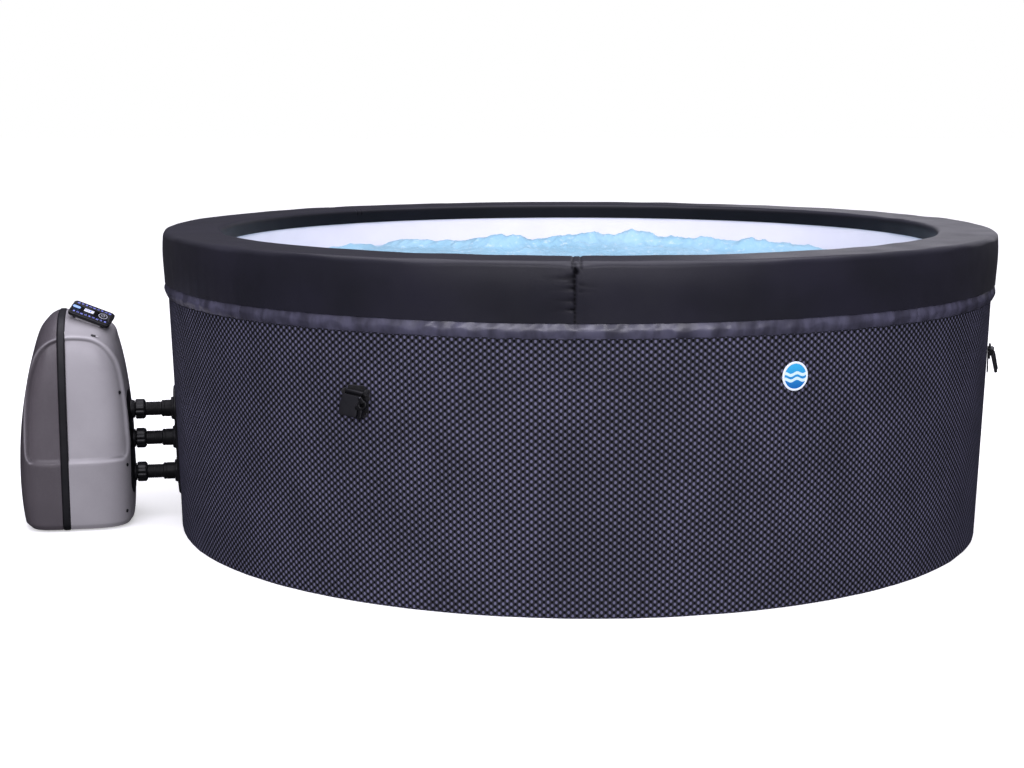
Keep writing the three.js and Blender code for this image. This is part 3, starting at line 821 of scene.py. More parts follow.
def make_liner():
    low = 12.2
    rows = [(0, low), (300, low), (600, low), (780, low), (845, low)]
    rows += [(848 + 12.5 * math.sin(t), low + 12.5 * (1 - math.cos(t))) for t in np.linspace(0.2, TAU / 4, 6)]
    rows += [(BASIN_RADIUS, z) for z in np.linspace(40, 555, 26)]
    rows += [(858, 565), (853, 572), (849, 579)]
    rows += [(848.2, z) for z in np.linspace(586, LINER_TOP, 8)]
    r, z = (np.array(row)[None, :] for row in zip(*rows))
    angle = (np.arange(240) * TAU / 240)[:, None]
    wall = np.clip((z - 60) / 100, 0, 1) * np.clip((560 - z) / 60, 0, 1)
    inside = r + wall * 0.9 * (ripple(41, angle, z, 8, 60, 8, 0.012) - 1)
    lift = 2.4 + 0.8 * bell(z - low, 6) * (r / 860) * (1 + ripple(42, angle, r, 5, 40, 8, 0.02))
    inner = around(inside, angle, np.where(r < 846, z + lift, np.maximum(z, low + lift * bell(z - low, 14))))
    outer = around(r + np.where(r > 846, 1.6, 0), angle, z)
    grid = np.concatenate([inner, outer[:, ::-1]], 1)
    made = piece("liner_skin", [(lattice(grid, True, False), liner_film)], "root", ["liner"],
                 sharp=60)
    drilled(made, [rod for rod, _ in passages(17)])
    return made


def make_bubble_tube():
    angle = (np.arange(480) * TAU / 480)[:, None]
    t = np.linspace(0, TAU, 24, endpoint=False)[None, :]
    pinch = 1 - 0.07 * np.abs(np.sin(24 * angle)) ** 6
    r = 837 + 15.5 * np.cos(t) * pinch
    z = 16.4 + 26.5 * np.clip(np.sin(t), 0, 1) ** 0.8 * pinch
    made = piece("bubble_tube", [(lattice(around(r, angle, z), True, True), liner_film)], "root",
                 ["bubble_ring"])
    return made


def make_floor_mat():
    mat = turned([(0, 0), (950, 0), (950, 11.3), (0, 11.3)], 4, 240)
    return piece("floor_mat", [(mat, pad_foam)], "root", ["floor_pad"])


# ---------- water ----------

# The crest of the froth across the back of the basin, x and height above the water, and lower heaps in front
# of it as x, y, height, half width, half depth
CREST = [
    (-0.72, 8), (-0.66, 27), (-0.58, 23), (-0.53, 16), (-0.47, 38), (-0.42, 34), (-0.36, 36), (-0.3, 33),
    (-0.25, 43), (-0.2, 53), (-0.15, 50), (-0.11, 41), (-0.06, 46), (0.0, 52), (0.045, 55), (0.09, 43),
    (0.12, 50), (0.15, 65), (0.18, 63), (0.21, 46), (0.26, 43), (0.31, 37), (0.37, 42), (0.42, 38),
    (0.46, 44), (0.5, 35), (0.56, 31), (0.62, 22), (0.67, 16), (0.72, 8),
]
HEAPS = [
    (0.0, 0.42, 28, 0.55, 0.12), (0.2, 0.62, 20, 0.3, 0.08), (-0.3, 0.64, 18, 0.25, 0.08),
    (-0.1, -0.35, 16, 0.25, 0.2), (0.45, -0.1, 18, 0.14, 0.22), (-0.5, -0.05, 15, 0.16, 0.22),
    (0.0, 0.1, 14, 0.3, 0.2),
]


def make_water_body():
    angle = (np.arange(640) * TAU / 640)[:, None]
    share = np.linspace(0, 1, 191)[None, :]
    edge = 847.4
    r = edge * share
    x, y = r * np.cos(angle) / 1000, r * np.sin(angle) / 1000
    rng = np.random.default_rng(51)
    chop = np.zeros_like(x)
    for scale, size in ((14, 3.4), (30, 2.6), (64, 2.0), (120, 1.4), (210, 0.9)):
        for _ in range(6):
            way = rng.uniform(0, TAU)
            phase = scale * rng.uniform(0.7, 1.3) * (x * math.cos(way) + y * math.sin(way))
            phase = phase + rng.uniform(0, TAU)
            chop = chop + size / 6 ** 0.5 * (1 - 2 * np.abs(np.sin(phase)))
    crest = np.interp(x, *zip(*CREST)) * np.exp(-((y - 0.45 - 0.03 * np.sin(9 * x)) / 0.055) ** 2)
    crumbs = 1 - 2 * np.abs(np.sin(58 * x + 2 * np.sin(23 * y)) * np.sin(41 * x - 37 * y))
    heap = crest * (1 + 0.05 * crumbs)
    boil = [(*rng.uniform(-0.72, 0.72, 2), rng.uniform(0.5, 1), *rng.uniform(0.04, 0.1, 2))
            for _ in range(90)]
    boil = [(mx, my, share * np.interp(my, (-0.75, 0, 0.3), (46, 19, 13)), wide, deep)
            for mx, my, share, wide, deep in boil if math.hypot(mx, my) < 0.76]
    for mx, my, height, wide, deep in HEAPS + boil:
        mound = height * np.exp(-np.abs((x - mx) / wide) ** 1.6 - ((y - my) / deep) ** 2)
        heap = (heap ** 4 + mound ** 4) ** 0.25
    calm = np.clip((edge - r) / 60, 0.12, 1)
    z = WATER_LEVEL + heap * np.clip((edge - r) / 90, 0, 1)
    z = z + calm * chop * (0.35 + 0.45 * np.clip(heap / 30, 0, 1))
    top = around(r, angle, z)
    bottom = around(r[:, ::-1], angle, np.full_like(z, 585.0))[:, ::10]
    grid = np.concatenate([top, bottom], 1)
    return piece("water_surface", [(lattice(grid, True, False), froth)], "root", sharp=180)


# ---------- badge, patches and buckles ----------

def make_badge():
    place = outward(-64, 469) @ ALONG_X
    disc = turned([(0, 969.2), (25.6, 969.2), (25.6, 971.3), (16, 971.6), (0, 971.7)], 0.3, 64)
    ring = turned([(24.6, 969.2), (29, 969.2), (29, 971.2), (27, 972.0), (24.6, 971.7)], 0.6, 64)
    return piece("badge_disc", [(disc, badge_print), (ring, badge_white)], "root", ["badge"],
                 matrix=place)


# Each lid-strap buckle's bearing, and how crooked it hangs
BUCKLES = [(-116.3, -7), (-13.4, 2), (72.3, 4), (158, -3)]


def make_buckles():
    for k, (bearing, crooked) in enumerate(BUCKLES):
        group = outward(bearing, 411)
        patch = upright(pad(50, 57, 8, 968.0, 970.6, 0.9, crown=0.5))
        flap = placed(upright(pad(40, 17, 4, 970.2, 974.6, 1.2, crown=1.2)), moved(0, 0, 27))
        parts = [(patch, webbing), (flap, webbing)]
        for side in (-1, 1):
            loop = turned([(2.9, -3.4), (5.2, -3.4), (5.2, 3.4), (2.9, 3.4)], 0.6, 28)
            parts.append((placed(loop, moved(977.5, side * 26, 22) @ ALONG_Y), webbing))
            tab = upright(pad(6.8, 24, 2, 970.0, 974.8, 0.7))
            parts.append((placed(tab, moved(0, side * 26, 17)), webbing))
        bar = turned([(0, -29.8), (2.3, -29.8), (2.3, 29.8), (0, 29.8)], 0.6, 20)
        parts.append((placed(bar, moved(977.5, 0, 22) @ ALONG_Y), black_plastic))
        edge = rounded_outline(44, 51, 6, 5)
        for i in range(len(edge)):
            for t in (0.0, 0.5):
                y, z = edge[i] + (edge[(i + 1) % len(edge)] - edge[i]) * t
                stitch = upright(pad(2.6, 0.9, 0.4, 970.4, 971.3, 0.3, 1))
                parts.append((placed(stitch, moved(0, y, z)), thread))
        piece(f"lid_strap_patch_{k + 1}", parts, "root", [f"strap_patch_{k + 1}"], matrix=group)

        eye = turned([(3.0, -20.5), (5.1, -20.5), (5.1, 20.5), (3.0, 20.5)], 0.7, 28)
        plate = placed(upright(pad(43, 43, 5, -3.4, 3.4, 1.6, crown=0.9)), moved(0, -6, -28))
        neck = placed(upright(pad(38, 7, 2, -4.6, -1.6, 0.8)), moved(0, -4, -6))
        hook = turned([(5.2, -1.9), (10.4, -1.9), (10.4, 5.0), (5.2, 5.0)], 1.6, 40)
        tongue = placed(upright(pad(9, 24, 3.6, -2.8, 4.6, 1.4)), moved(0, 23, -38) @ turned_by(6, "X"))
        claw = placed(upright(pad(13, 9, 3, -1.9, 5.0, 1.4)), moved(0, 16, -29) @ turned_by(-24, "X"))
        arm = placed(upright(pad(17, 9, 3, -1.7, 5.4, 1.4)), moved(0, 20, -13) @ turned_by(-38, "X"))
        rivet = placed(turned([(0, 3.6), (2.1, 3.6), (2.1, 5.2), (0, 5.8)], 0.5, 24), ALONG_X)
        parts = [(placed(eye, ALONG_Y), black_plastic), (plate, buckle_grey), (neck, black_plastic)]
        parts += [(part, clip_black) for part in (tongue, claw, arm)]
        parts += [(placed(hook, moved(0, 24, -22) @ ALONG_X), clip_black)]
        parts += [(placed(rivet, moved(0, 16, -9)), steel)]
        hang = group @ moved(977.5, 0, 22) @ turned_by(-13, "Y") @ turned_by(crooked, "X")
        piece(f"lid_buckle_{k + 1}", parts, f"strap_buckle_{k + 1}", [f"buckle_{k + 1}"],
              matrix=hang)


def make_drain():
    place = outward(120, DRAIN[1]) @ ALONG_X
    valve = turned([
        (9, 852), (20, 852), (20, 857), (14, 857), (14, 957.5), (28, 957.5), (28, 961), (14, 961),
        (14, 984), (9, 984),
    ], 0.8, 64)
    piece("drain_body", [(valve, black_plastic)], "root", ["drain_valve"], matrix=place)
    cap = turned([(15, 963), (20, 963), (20, 989), (0, 989), (0, 985), (15, 985)], 1.2, 96, 16, 1.6, 17)
    piece("drain_screw_cap", [(cap, black_plastic)], "drain_cap_body", ["drain_cap"],
          matrix=place)


# ---------- hoses ----------

def screw_head(radius=3.4):
    """A pan head with a cross recess, its seat at z = 0."""
    head = turned([(0, -1.5), (radius, -1.5), (radius, 0.5), (radius * 0.6, 1.4), (0, 1.6)], 0.4, 24)
    bar = pad(radius * 1.15, 0.8, 0.3, 1.1, 1.75, 0.15, 1)
    return [(head, steel), (bar, black_plastic), (placed(bar, turned_by(90, "Z")), black_plastic)]


def hose_end(height):
    """Where a hose stops, just short of the sloping wall."""
    return 259.7 - 0.0316 * height


def make_wall_plate():
    """The moulded plate that the hoses enter, following the wall's curve."""
    middle = (PORT_HEIGHTS["air"] + PORT_HEIGHTS["suction"]) / 2
    centre = UNIT @ moved(256, HOSE_ROW, middle)
    bearing = math.atan2(centre.translation.y, centre.translation.x)
    outline = rounded_outline(112, 262, 54, 12)
    loops = []
    for share, lift in ((0.02, 0.5), (0.5, 0.5), (0.96, 0.5), (1.0, 0.9), (1.0, 3.6), (0.985, 4.9),
                        (0.95, 5.4), (0.9, 5.5), (0.86, 4.6), (0.5, 4.6), (0.02, 4.6)):
        ring = outline * share if share < 0.84 else outline - (1 - share) * 80 * outline / np.abs(
            outline).max(0)
        z = ring[:, 1] + middle
        loops.append(around(wall_radius(z) + lift, bearing + ring[:, 0] / 965, z))
    plate = piece("wall_port_plate", [(stack(loops), black_plastic)], "root", ["port_plate"])
    drilled(plate, [rod for rod, _ in passages(16.5)[:3]])
    parts = []
    for height in PORT_HEIGHTS.values():
        end = hose_end(height)
        ring = turned([(20.7, end - 6), (25.5, end - 6), (29, end + 3.4), (20.7, end + 3.4)], 1.0, 64)
        parts.append((placed(ring, UNIT @ moved(0, HOSE_ROW, height) @ ALONG_X), black_plastic))
    screws = [(side * across, z)
              for across, z in ((36, 296), (43, 237), (43, 158), (36, 98)) for side in (-1, 1)]
    for across, z in screws:
        seat = turned_by(math.degrees(bearing + across / 965), "Z") @ moved(wall_radius(z) + 4.7, 0, z)
        seat = seat @ turned_by(90, "Y")
        parts += [(placed(part, seat), material) for part, material in screw_head(3.0)]
    piece("wall_port_rings", parts, "root")


def make_hoses():
    make_wall_plate()
    for name, height in PORT_HEIGHTS.items():
        place = UNIT @ moved(0, HOSE_ROW, height) @ ALONG_X
        end = hose_end(height)
        ribs = []
        for x in np.arange(188.5, 217, 4.4):
            ribs += [(16.0, x), (16.5, x + 0.8), (16.5, x + 2.2), (16.0, x + 3.0)]
        hose = turned([
            (13, 173), (16, 173), *ribs, (16, 222), (17.2, 223.4), (20, 224.2), (20, 229), (19.4, 229.6),
            (19.4, 231.4), (20, 232), (20, end - 0.3), (13, end - 0.3),
        ], 0.5, 64)
        piece(f"hose_run_{name}", [(hose, rubber_black)], "root", [f"hose_{name}"],
              matrix=place)
        nut = turned([
            (16.7, 162), (22, 162), (24, 164), (24, 181), (22.6, 183.4), (19, 186), (16.7, 186),
        ], 0.8, 120, 10, 2.0, 21.6)
        piece(f"lobed_nut_{name}", [(nut, black_plastic)], f"nut_{name}", [f"union_nut_{name}"],
              matrix=place)


# ---------- pump casing ----------

# Height, reach of the outer side, reach of the tub side, half depth, from the foot to the crown
CASING = np.array([
    (5, 90, 144, 138), (18, 101, 151.5, 147), (120, 109, 155, 150), (240, 103, 153, 149),
    (350, 85, 142, 144), (435, 63, 125, 131), (469, 51, 111, 115), (486, 38, 68, 93), (499, 24, 32, 62),
    (509, 0, 0, 0),
], float)


def casing_row(u):
    """The casing's row at u: 0 at the foot to 9 at the crown, and down to -1 at the middle of the floor."""
    u = np.asarray(u, float)[..., None]
    rows = np.vstack([CASING[0] * (1, 0.985, 0.985, 0.985) - (9, 0, 0, 0), CASING,
                      CASING[-2] * (1, -1, -1, -1)])
    i = np.clip(np.floor(u[..., 0]).astype(int), 0, 8)
    t = np.clip(u - i[..., None], 0, 1)
    p0, p1, p2, p3 = (rows[np.clip(i + k, 0, len(rows) - 1)] for k in range(4))
    m1, m2 = (p2 - p0) / 2, (p3 - p1) / 2
    span_before = np.abs(p1[..., :1] - p0[..., :1]) + 1e-9
    span = np.abs(p2[..., :1] - p1[..., :1]) + 1e-9
    span_after = np.abs(p3[..., :1] - p2[..., :1]) + 1e-9
    m1 = m1 * 2 * span / (span + span_before)
    m2 = m2 * 2 * span / (span + span_after)
    h = ((2 * t ** 3 - 3 * t ** 2 + 1) * p1 + (t ** 3 - 2 * t ** 2 + t) * m1
         + (-2 * t ** 3 + 3 * t ** 2) * p2 + (t ** 3 - t ** 2) * m2)
    floor = CASING[0] * np.concatenate([np.ones_like(u), 1 + u, 1 + u, 1 + u], -1)
    return np.where(u < 0, floor, h)


def squareness(z):
    """The plan's superellipse exponent, softer over the crown than up to the shoulder."""
    t = np.clip((z - 425) / 50, 0, 1)
    return 4 - t * t * (3 - 2 * t)


def plan_depth(x, reach, depth, z):
    """Half depth of the superellipse plan at x."""
    n = squareness(z)
    return depth * np.clip(1 - np.abs(x / reach) ** n, 0, 1) ** (1 / n)


ARCH = np.array([
    (-84, 176), (-86, 200), (-83, 300), (-74, 362), (-54, 414), (-30, 440), (0, 451), (40, 452),
    (74, 445), (102, 424), (123, 385), (135, 310), (140, 230), (141, 182), (132, 171), (30, 168), (-74, 168),
], float)


def closed_curve(points, steps=10):
    made = []
    n = len(points)
    for i in range(n):
        p0, p1, p2, p3 = (points[(i + k) % n] for k in (-1, 0, 1, 2))
        reach = np.linalg.norm(p2 - p1)
        m1 = (p2 - p0) * reach / (reach + np.linalg.norm(p1 - p0))
        m2 = (p3 - p1) * reach / (reach + np.linalg.norm(p3 - p2))
        for t in np.arange(steps) / steps:
            made.append((2 * t ** 3 - 3 * t ** 2 + 1) * p1 + (t ** 3 - 2 * t ** 2 + t) * m1
                        + (-2 * t ** 3 + 3 * t ** 2) * p2 + (t ** 3 - t ** 2) * m2)
    return np.array(made)


def depth_inside(x, z, outline):
    """Distance to a closed outline in XZ, positive inside it."""
    a, b = outline, np.roll(outline, -1, 0)
    p = np.stack([x.ravel(), z.ravel()], 1)
    best = np.full(len(p), 1e9)
    inside = np.zeros(len(p), bool)
    for s, e in zip(a, b):
        d = e - s
        t = np.clip(((p - s) @ d) / (d @ d + 1e-12), 0, 1)
        best = np.minimum(best, np.linalg.norm(p - s - t[:, None] * d, axis=1))
        crosses = (s[1] > p[:, 1]) != (e[1] > p[:, 1])
        where = s[0] + (p[:, 1] - s[1]) / (e[1] - s[1] + 1e-12) * d[0]
        inside ^= crosses & (p[:, 0] < where)
    return np.where(inside, best, -best).reshape(x.shape)


def crown_limit(side, cut):
    """The highest and lowest u at which the casing still reaches `cut` on that side."""
    u = np.linspace(8, 9, 4001)
    reach = casing_row(u)[:, 2 if side > 0 else 1]
    return -1 + cut / CASING[0][2 if side > 0 else 1], u[reach > cut][-1]


def half_casing(side, cut, grow=0.0):
    """Half of the casing beyond x = cut, as points [row][round][xyz] with a fourth column of painted shade
    and highlight, and the arched recess pressed in.
    """
    low, high = crown_limit(side, cut)
    u = np.concatenate([
        np.linspace(low, 0, 8)[:-1], np.linspace(0, 1, 7)[:-1], np.linspace(1, 2.2, 34)[:-1],
        np.linspace(2.2, 4, 40)[:-1], np.linspace(4, 6, 44)[:-1], np.linspace(6, 8, 22)[:-1],
        np.linspace(8, high, 14),
    ])
    z, outer, tub, depth = casing_row(u).T
    reach = (tub if side > 0 else outer)[:, None]
    depth = depth[:, None]
    at_cut = plan_depth(np.minimum(cut, reach), reach, depth, z[:, None])
    widest = np.arctan2(at_cut, np.minimum(cut, reach))
    phi = np.linspace(-1, 1, 191)[None, :] * widest
    c, s = np.cos(phi) / reach, np.sin(phi) / depth
    n = squareness(z)[:, None]
    scale = 1 / (np.abs(c) ** n + np.abs(s) ** n) ** (1 / n)
    x, y = side * scale * np.cos(phi), scale * np.sin(phi)
    points = np.stack([x, y, np.broadcast_to(z[:, None], x.shape)], -1)
    du, dv = np.gradient(points, axis=0), np.gradient(points, axis=1)
    normal = np.cross(dv, du) * side
    normal /= np.linalg.norm(normal, axis=-1)[..., None] + 1e-9
    outline = closed_curve(ARCH)
    inside = depth_inside(x, points[..., 2], outline)
    press = -5.0 / (1 + np.exp(-np.clip(inside * 1.1, -40, 40)))
    ridge = 1.6 * bell(inside + 4.5, 3.4) * np.clip((points[..., 2] - 172) / 40, 0, 1)
    facing = np.clip((np.abs(normal[..., 1]) - 0.1) / 0.2, 0, 1)
    # Painted light for the shell's colour: shade just inside the arch's edge and over the frame outside the
    # arch, and a highlight (negative values) along the ridge.
    shade = 0.7 * bell(inside - 1.0, 2.2) - bell(inside + 3.6, 2.6)
    shade = shade + 0.35 / (1 + np.exp(np.clip(inside, -40, 40)))
    move = ((press + ridge) * facing + grow)[..., None]
    return np.concatenate([points + normal * move, (shade * facing)[..., None]], -1)


def casing_point(x, z, side):
    """A point on the near (side -1) or far face of the casing, from its height and distance along."""
    u = np.interp(z, CASING[:, 0], np.arange(10))
    for _ in range(12):
        u = u + (z - casing_row(u)[0]) / 60
    row = casing_row(u)
    y = side * plan_depth(x, row[2] if x > 0 else row[1], row[3], z)
    return np.array([x, float(y), z])


def make_casing():
    shells = ((-1, "casing_outer", "shell_outer", shell_dark, "shell_dark"),
              (1, "casing_tub_side", "shell_tub_side", shell_light, "shell_light"))
    for side, name, node, material, slot in shells:
        part = lattice(half_casing(side, BAND_HALF + 0.5))
        made = piece(name, [(part, material)], "root", [node], matrix=UNIT, sharp=60)
        shell = made.modifiers.new("wall", "SOLIDIFY")
        shell.thickness = 0.0026
        shell.offset = -1
        bpy.context.view_layer.objects.active = made
        bpy.ops.object.modifier_apply(modifier=shell.name)
        if side > 0:
            drilled(made, [placed(turned([(0, 120), (17, 120), (17, 190), (0, 190)], 0.1, 32),
                                  UNIT @ moved(0, HOSE_ROW, h) @ ALONG_X) for h in PORT_HEIGHTS.values()])
    make_seam_band()
    make_port_panel()
    base = pad(190, 196, 30, 0, 4.8, 1.2)
    piece("pump_foot_pad", [(placed(base, moved(26, 0, 0)), rubber_black)], "root", ["pump_base"],
          matrix=UNIT)
    make_casing_screws()


def make_seam_band():
    half = BAND_HALF - 0.1
    across = np.linspace(-half, half, 11)
    grids = []
    for x in across:
        side = 1 if x >= 0 else -1
        column = 2 if side > 0 else 1
        cut = max(abs(x), 0.02)
        low, high = crown_limit(side, cut)
        u = np.concatenate([
            np.linspace(low, 0, 8)[:-1], np.linspace(0, 1, 7)[:-1], np.linspace(1, 8, 90)[:-1],
            np.linspace(8, high, 22),
        ])
        row = casing_row(u)
        y = plan_depth(cut, np.maximum(row[:, column], cut), row[:, 3], row[:, 0])
        near = np.stack([np.full_like(y, x), -y, row[:, 0]], 1)
        far = np.stack([np.full_like(y, x), y, row[:, 0]], 1)[::-1]
        grids.append(np.concatenate([near, far[1:-1]]))
    grid = np.array(grids)
    ahead = np.roll(grid, -1, 1) - np.roll(grid, 1, 1)
    normal = np.cross(ahead, (1.0, 0, 0))
    normal /= np.linalg.norm(normal, axis=-1)[..., None] + 1e-9
    middle = grid.mean((0, 1))
    if ((grid - middle) * normal).sum() < 0:
        normal = -normal
    crown = 0.4 + 0.9 * (1 - (across / half) ** 4) - 1.4 * (np.abs(across / half) ** 10)
    outer = grid + normal * crown[:, None, None]
    inner = grid - normal * 3.6
    band = lattice(np.concatenate([outer, inner[::-1]], 0), True, True)
    return piece("casing_band", [(band, band_rubber)], "root", ["seam_band"], matrix=UNIT,
                 sharp=60)


def make_port_panel():
    loops = []
    centre = np.array([HOSE_ROW, 196.0])
    for share, lift in ((0.0, 2.9), (0.35, 2.9), (0.7, 2.9), (0.86, 2.9), (0.93, 2.7), (0.97, 1.9),
                        (0.99, 0.9), (1.0, -1.6)):
        ring = rounded_outline(92, 250, 36, 12) * max(share, 0.004) + centre
        loops.append((ring, lift))
    u_of = np.linspace(0, 8, 2000)
    heights = casing_row(u_of)
    grid = []
    for ring, lift in loops:
        y, z = ring.T
        reach = np.interp(z, heights[:, 0], heights[:, 2])
        depth = np.interp(z, heights[:, 0], heights[:, 3])
        x = reach * np.clip(1 - np.abs(y / depth) ** 4, 0, 1) ** 0.25 + lift
        grid.append(np.stack([x, y, z], 1))
    grid = np.array(grid)
    back = grid[::-1] - (2.4, 0, 0)
    panel = stack(np.concatenate([grid, back[1:] + (1.0, 0, 0)]))
    parts = [(panel, black_plastic)]
    for height in PORT_HEIGHTS.values():
        place = moved(0, HOSE_ROW, height) @ ALONG_X
        collar = turned([(16.2, 150.5), (23.5, 150.5), (21.5, 158), (20.4, 161), (16.2, 161)], 0.8, 64)
        threads = []
        for x in np.arange(162.5, 171, 2.0):
            threads += [(15.1, x), (15.7, x + 0.7), (15.7, x + 1.1), (15.1, x + 1.8)]
        stub = turned([(11, 134), (15.4, 134), (15.4, 161), *threads, (15.0, 172), (11, 172)], 0.2, 48)
        parts += [(placed(collar, place), black_plastic), (placed(stub, place), black_plastic)]
    made = piece("unit_port_panel", parts, "root", ["port_panel"], matrix=UNIT)
    return drilled(made, [placed(turned([(0, 125), (10.8, 125), (10.8, 180), (0, 180)], 0.1, 32),
                                 UNIT @ moved(0, HOSE_ROW, h) @ ALONG_X) for h in PORT_HEIGHTS.values()])


def casing_seat(x, z, side):
    """A frame on the casing with its Z axis along the surface's outward normal and its Y axis upwards."""
    here = casing_point(x, z, side)
    across = casing_point(x + 0.5, z, side) - casing_point(x - 0.5, z, side)
    up = casing_point(x, z + 0.5, side) - casing_point(x, z - 0.5, side)
    across /= np.linalg.norm(across)
    out = np.cross(across, up) * -side
    out /= np.linalg.norm(out)
    frame_here = np.eye(4)
    frame_here[:3, :3] = np.stack([across * -side, np.cross(out, across * -side), out], 1)
    frame_here[:3, 3] = here
    return Matrix(frame_here)


def make_casing_screws():
    """Screws along the tub side's edges, near and far, and the sunk catch above the arch."""
    for side, tag in ((-1, "near"), (1, "far")):
        parts = []
        for x, z in ((129, 323), (141, 150), (137, 40)):
            # Painted shade: a near-black disc stands for the shade in each screw's well.
            well_shade_disc = turned([(0, -0.6), (3.6, -0.6), (4.4, 0.5), (3.4, 0.55), (2.6, 0.1), (0, 0.1)], 0.15, 32)
            parts.append((placed(well_shade_disc, UNIT @ casing_seat(x, z, side)), clip_black))
            parts += [(placed(part, UNIT @ casing_seat(x, z, side) @ moved(0, 0, -1.2)), material)
                      for part, material in screw_head(2.2)]
        catch = casing_seat(76, 457, side) @ turned_by(side * 24, "Z")
        # Painted shade: the near-black slot pad stands for the shade in the catch's recess.
        slot = placed(pad(17, 6, 2.8, -1, 0.7, 0.5), UNIT @ catch)
        thumb = placed(pad(8, 5.4, 2.6, -1, 1.7, 0.7, crown=0.4), UNIT @ catch @ moved(-side * 6.5, 0, 0))
        parts += [(slot, clip_black), (thumb, shell_light)]
        piece(f"casing_screws_{tag}", parts, "root")


# ---------- control head ----------

def make_head():
    round_hole = placed(turned([(0, -4.8), (8.7, -4.8), (8.7, 3), (0, 3)], 0.1, 48), HEAD @ moved(27, 0, 0))
    oval_hole = placed(pad(19.6, 9.6, 4.7, -4.8, 3, 0.1), HEAD @ moved(-37, 0, 0))
    body = piece("head_body", [(pad(100, 58, 9, -10, -1.6, 1.6), black_plastic)], "head", ["control_head"],
                 matrix=HEAD)
    drilled(body, [round_hole, oval_hole])
    parts = []
    for x in (-34, 34):
        ear = turned([(2.8, -3), (4.2, -3), (4.2, 3), (2.8, 3)], 0.5, 32)
        ear = placed(ear, moved(x, -19, -13.5) @ ALONG_X)
        web = placed(pad(6, 8, 1.5, -10, -8, 0.4), moved(x, -19, 0))
        parts += [(ear, black_plastic), (web, black_plastic)]
        for y in (-1, 1):
            cheek = pad(6, 1.6, 0.4, -13.6, -9, 0.3)
            parts.append((placed(cheek, moved(x, -19 + y * 3.3, 0)), black_plastic))
    piece("head_ears", parts, "head", matrix=HEAD)

    face = piece("head_fascia", [(pad(95, 53, 7, -1.6, 0, 0.6), gloss_fascia)], "head", ["control_fascia"],
                 matrix=HEAD)
    drilled(face, [round_hole, oval_hole])
    lens = placed(pad(23, 11.6, 1.2, -0.4, 0.35, 0.3), moved(-7, 0, 0))
    rim = turned([(8.9, -0.3), (10.6, -0.3), (10.6, 0.35), (8.9, 0.35)], 0.2, 48)
    dot = turned([(0, -0.3), (1.5, -0.3), (1.5, 0.4), (0, 0.5)], 0.2, 20)
    parts = [(lens, display_lens), (placed(rim, moved(27, 0, 0)), key_ring)]
    parts += [(placed(dot, moved(11.5, 3, 0)), gloss_fascia)]
    parts += [(part, icon_print) for part in icon_rows()]
    for x, width in ((-16, 1.4), (-12.5, 1.4), (-9, 1.4), (-4, 3.2)):
        parts.append((placed(pad(width, 7, 0.5, 0.2, 0.5, 0.1, 1), moved(x, 0, 0)), icon_print))
    piece("fascia_marks", parts, "head", matrix=HEAD)

    key = turned([(0, -3.5), (8.3, -3.5), (8.3, 0.8), (7.2, 1.3), (4, 1.0), (0, 0.9)], 0.4, 48)
    mark = turned([(3.4, 0.7), (4.4, 0.7), (4.4, 1.35), (3.4, 1.35)], 0.15, 36)
    piece("power_key_cap", [(key, gloss_fascia), (mark, key_ring)], "power_key", ["power_button"],
          matrix=HEAD @ moved(27, 0, 0))
    oval = pad(18.8, 8.8, 4.3, -3.5, 1.2, 0.7, crown=0.3)
    piece("select_key_cap", [(oval, key_blue)], "select_key", ["select_button"],
          matrix=HEAD @ moved(-37, 0, 0))

    post = placed(pad(60, 6, 1.2, -45, -13.5, 0.6), moved(0, -19, 0))
    boss = turned([(0, -30), (3.1, -30), (3.1, 30), (0, 30)], 0.4, 28)
    pin = turned([(0, -37), (2.4, -37), (2.4, 37), (0, 37)], 0.5, 24)
    onto = moved(0, -19, -13.5) @ ALONG_X
    parts = [(post, shell_light), (placed(boss, onto), shell_light), (placed(pin, onto), steel)]
    piece("head_bracket", parts, "root", matrix=HEAD)


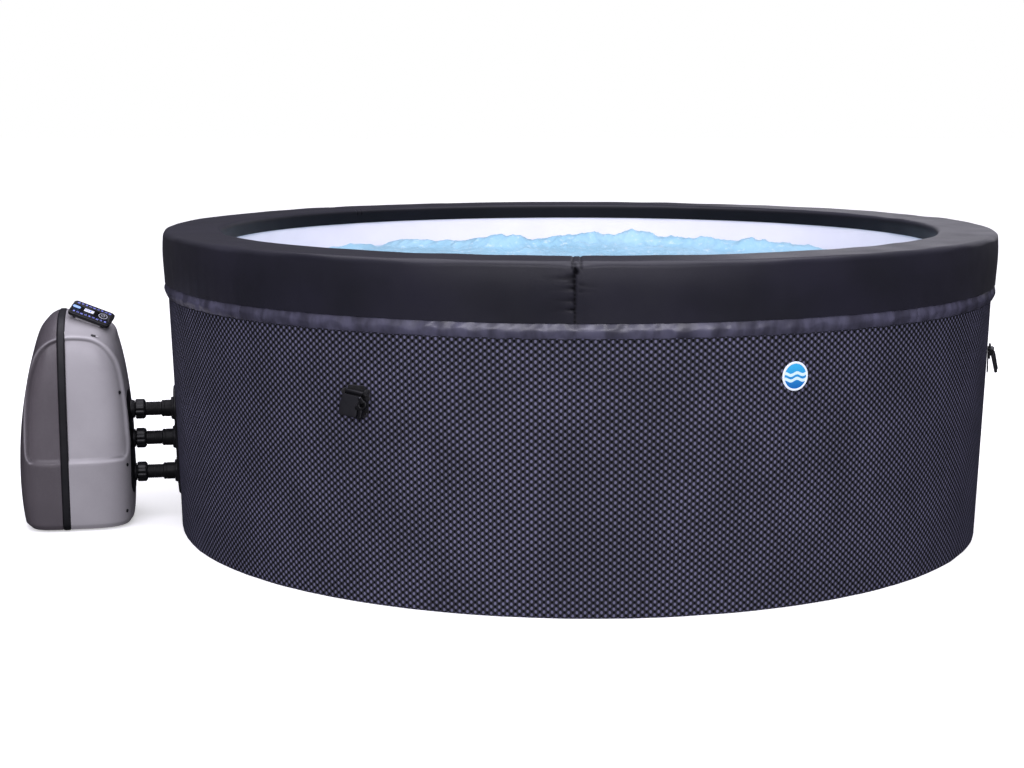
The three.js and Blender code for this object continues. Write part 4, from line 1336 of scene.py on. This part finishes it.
def icon_rows():
    """Plain printed marks in two rows: bars, dots, rings and small squares."""
    made = []

    def mark(part, x, y):
        made.append(placed(part, moved(x, y, 0)))

    for row, y in ((0, 19.5), (1, -19.5)):
        for i, x in enumerate(np.linspace(-38, 38, 9)):
            kind = (i + 2 * row) % 4
            if kind == 0:
                mark(pad(6.4, 2.2, 0.9, -0.2, 0.22, 0.1, 1), x, y)
                mark(pad(6.4, 1.2, 0.5, -0.2, 0.22, 0.1, 1), x, y - 2.8)
            elif kind == 1:
                mark(turned([(1.7, -0.2), (2.7, -0.2), (2.7, 0.22), (1.7, 0.22)], 0.1, 24), x, y)
            elif kind == 2:
                mark(pad(4.6, 4.6, 1.0, -0.2, 0.22, 0.1, 1), x, y)
            else:
                for dx in (-2.2, 0, 2.2):
                    mark(pad(1.2, 4.8, 0.5, -0.2, 0.22, 0.1, 1), x + dx, y)
    return made


# ---------- carried-over CAD pieces ----------

CARRIED = {
    "tub_port_air": white_plastic, "tub_port_return": white_plastic, "tub_port_suction": white_plastic,
    "filter_cup": white_plastic, "filter_cartridge": filter_paper, "pump_motor": motor_paint,
    "pump_volute": black_plastic, "pump_impeller": white_plastic, "heater_tube": steel,
    "blower_housing": black_plastic, "blower_fan": white_plastic, "suction_pipe": rubber_black,
    "return_pipe": rubber_black, "air_pipe": rubber_black, "control_board": board,
}


def dress_cad_nodes():
    for name, material in CARRIED.items():
        mesh = nodes[name].data
        mesh.materials.clear()
        mesh.materials.append(material)
        mesh.shade_smooth()
        mesh.set_sharp_from_angle(angle=math.radians(35))


# ---------- floor ----------

def make_floor():
    f = Finish("floor", 1.0, specular=0.0)
    f.colour(f.mix(f.span(f.noise(1.2, 3), 0.3, 0.7), linear(253, 253, 254), linear(255, 255, 255)))
    f.shader.inputs["Emission Color"].default_value = (1, 1, 1, 1)
    f.shader.inputs["Emission Strength"].default_value = 0.4
    mesh = bpy.data.meshes.new("studio_floor")
    mesh.from_pydata([(-40, -40, 0), (40, -40, 0), (40, 40, 0), (-40, 40, 0)], [], [(0, 1, 2, 3)])
    mesh.materials.append(f.material)
    floor = bpy.data.objects.new("studio_floor", mesh)
    scene.collection.objects.link(floor)
    floor.visible_glossy = False
    floor.visible_diffuse = False


make_rim_cover()
make_foam_blocks()
make_hem_skirt()
make_jacket()
make_floor_mat()
make_liner()
make_bubble_tube()
make_water_body()
make_badge()
make_buckles()
make_drain()
make_hoses()
make_casing()
make_head()
dress_cad_nodes()
make_floor()
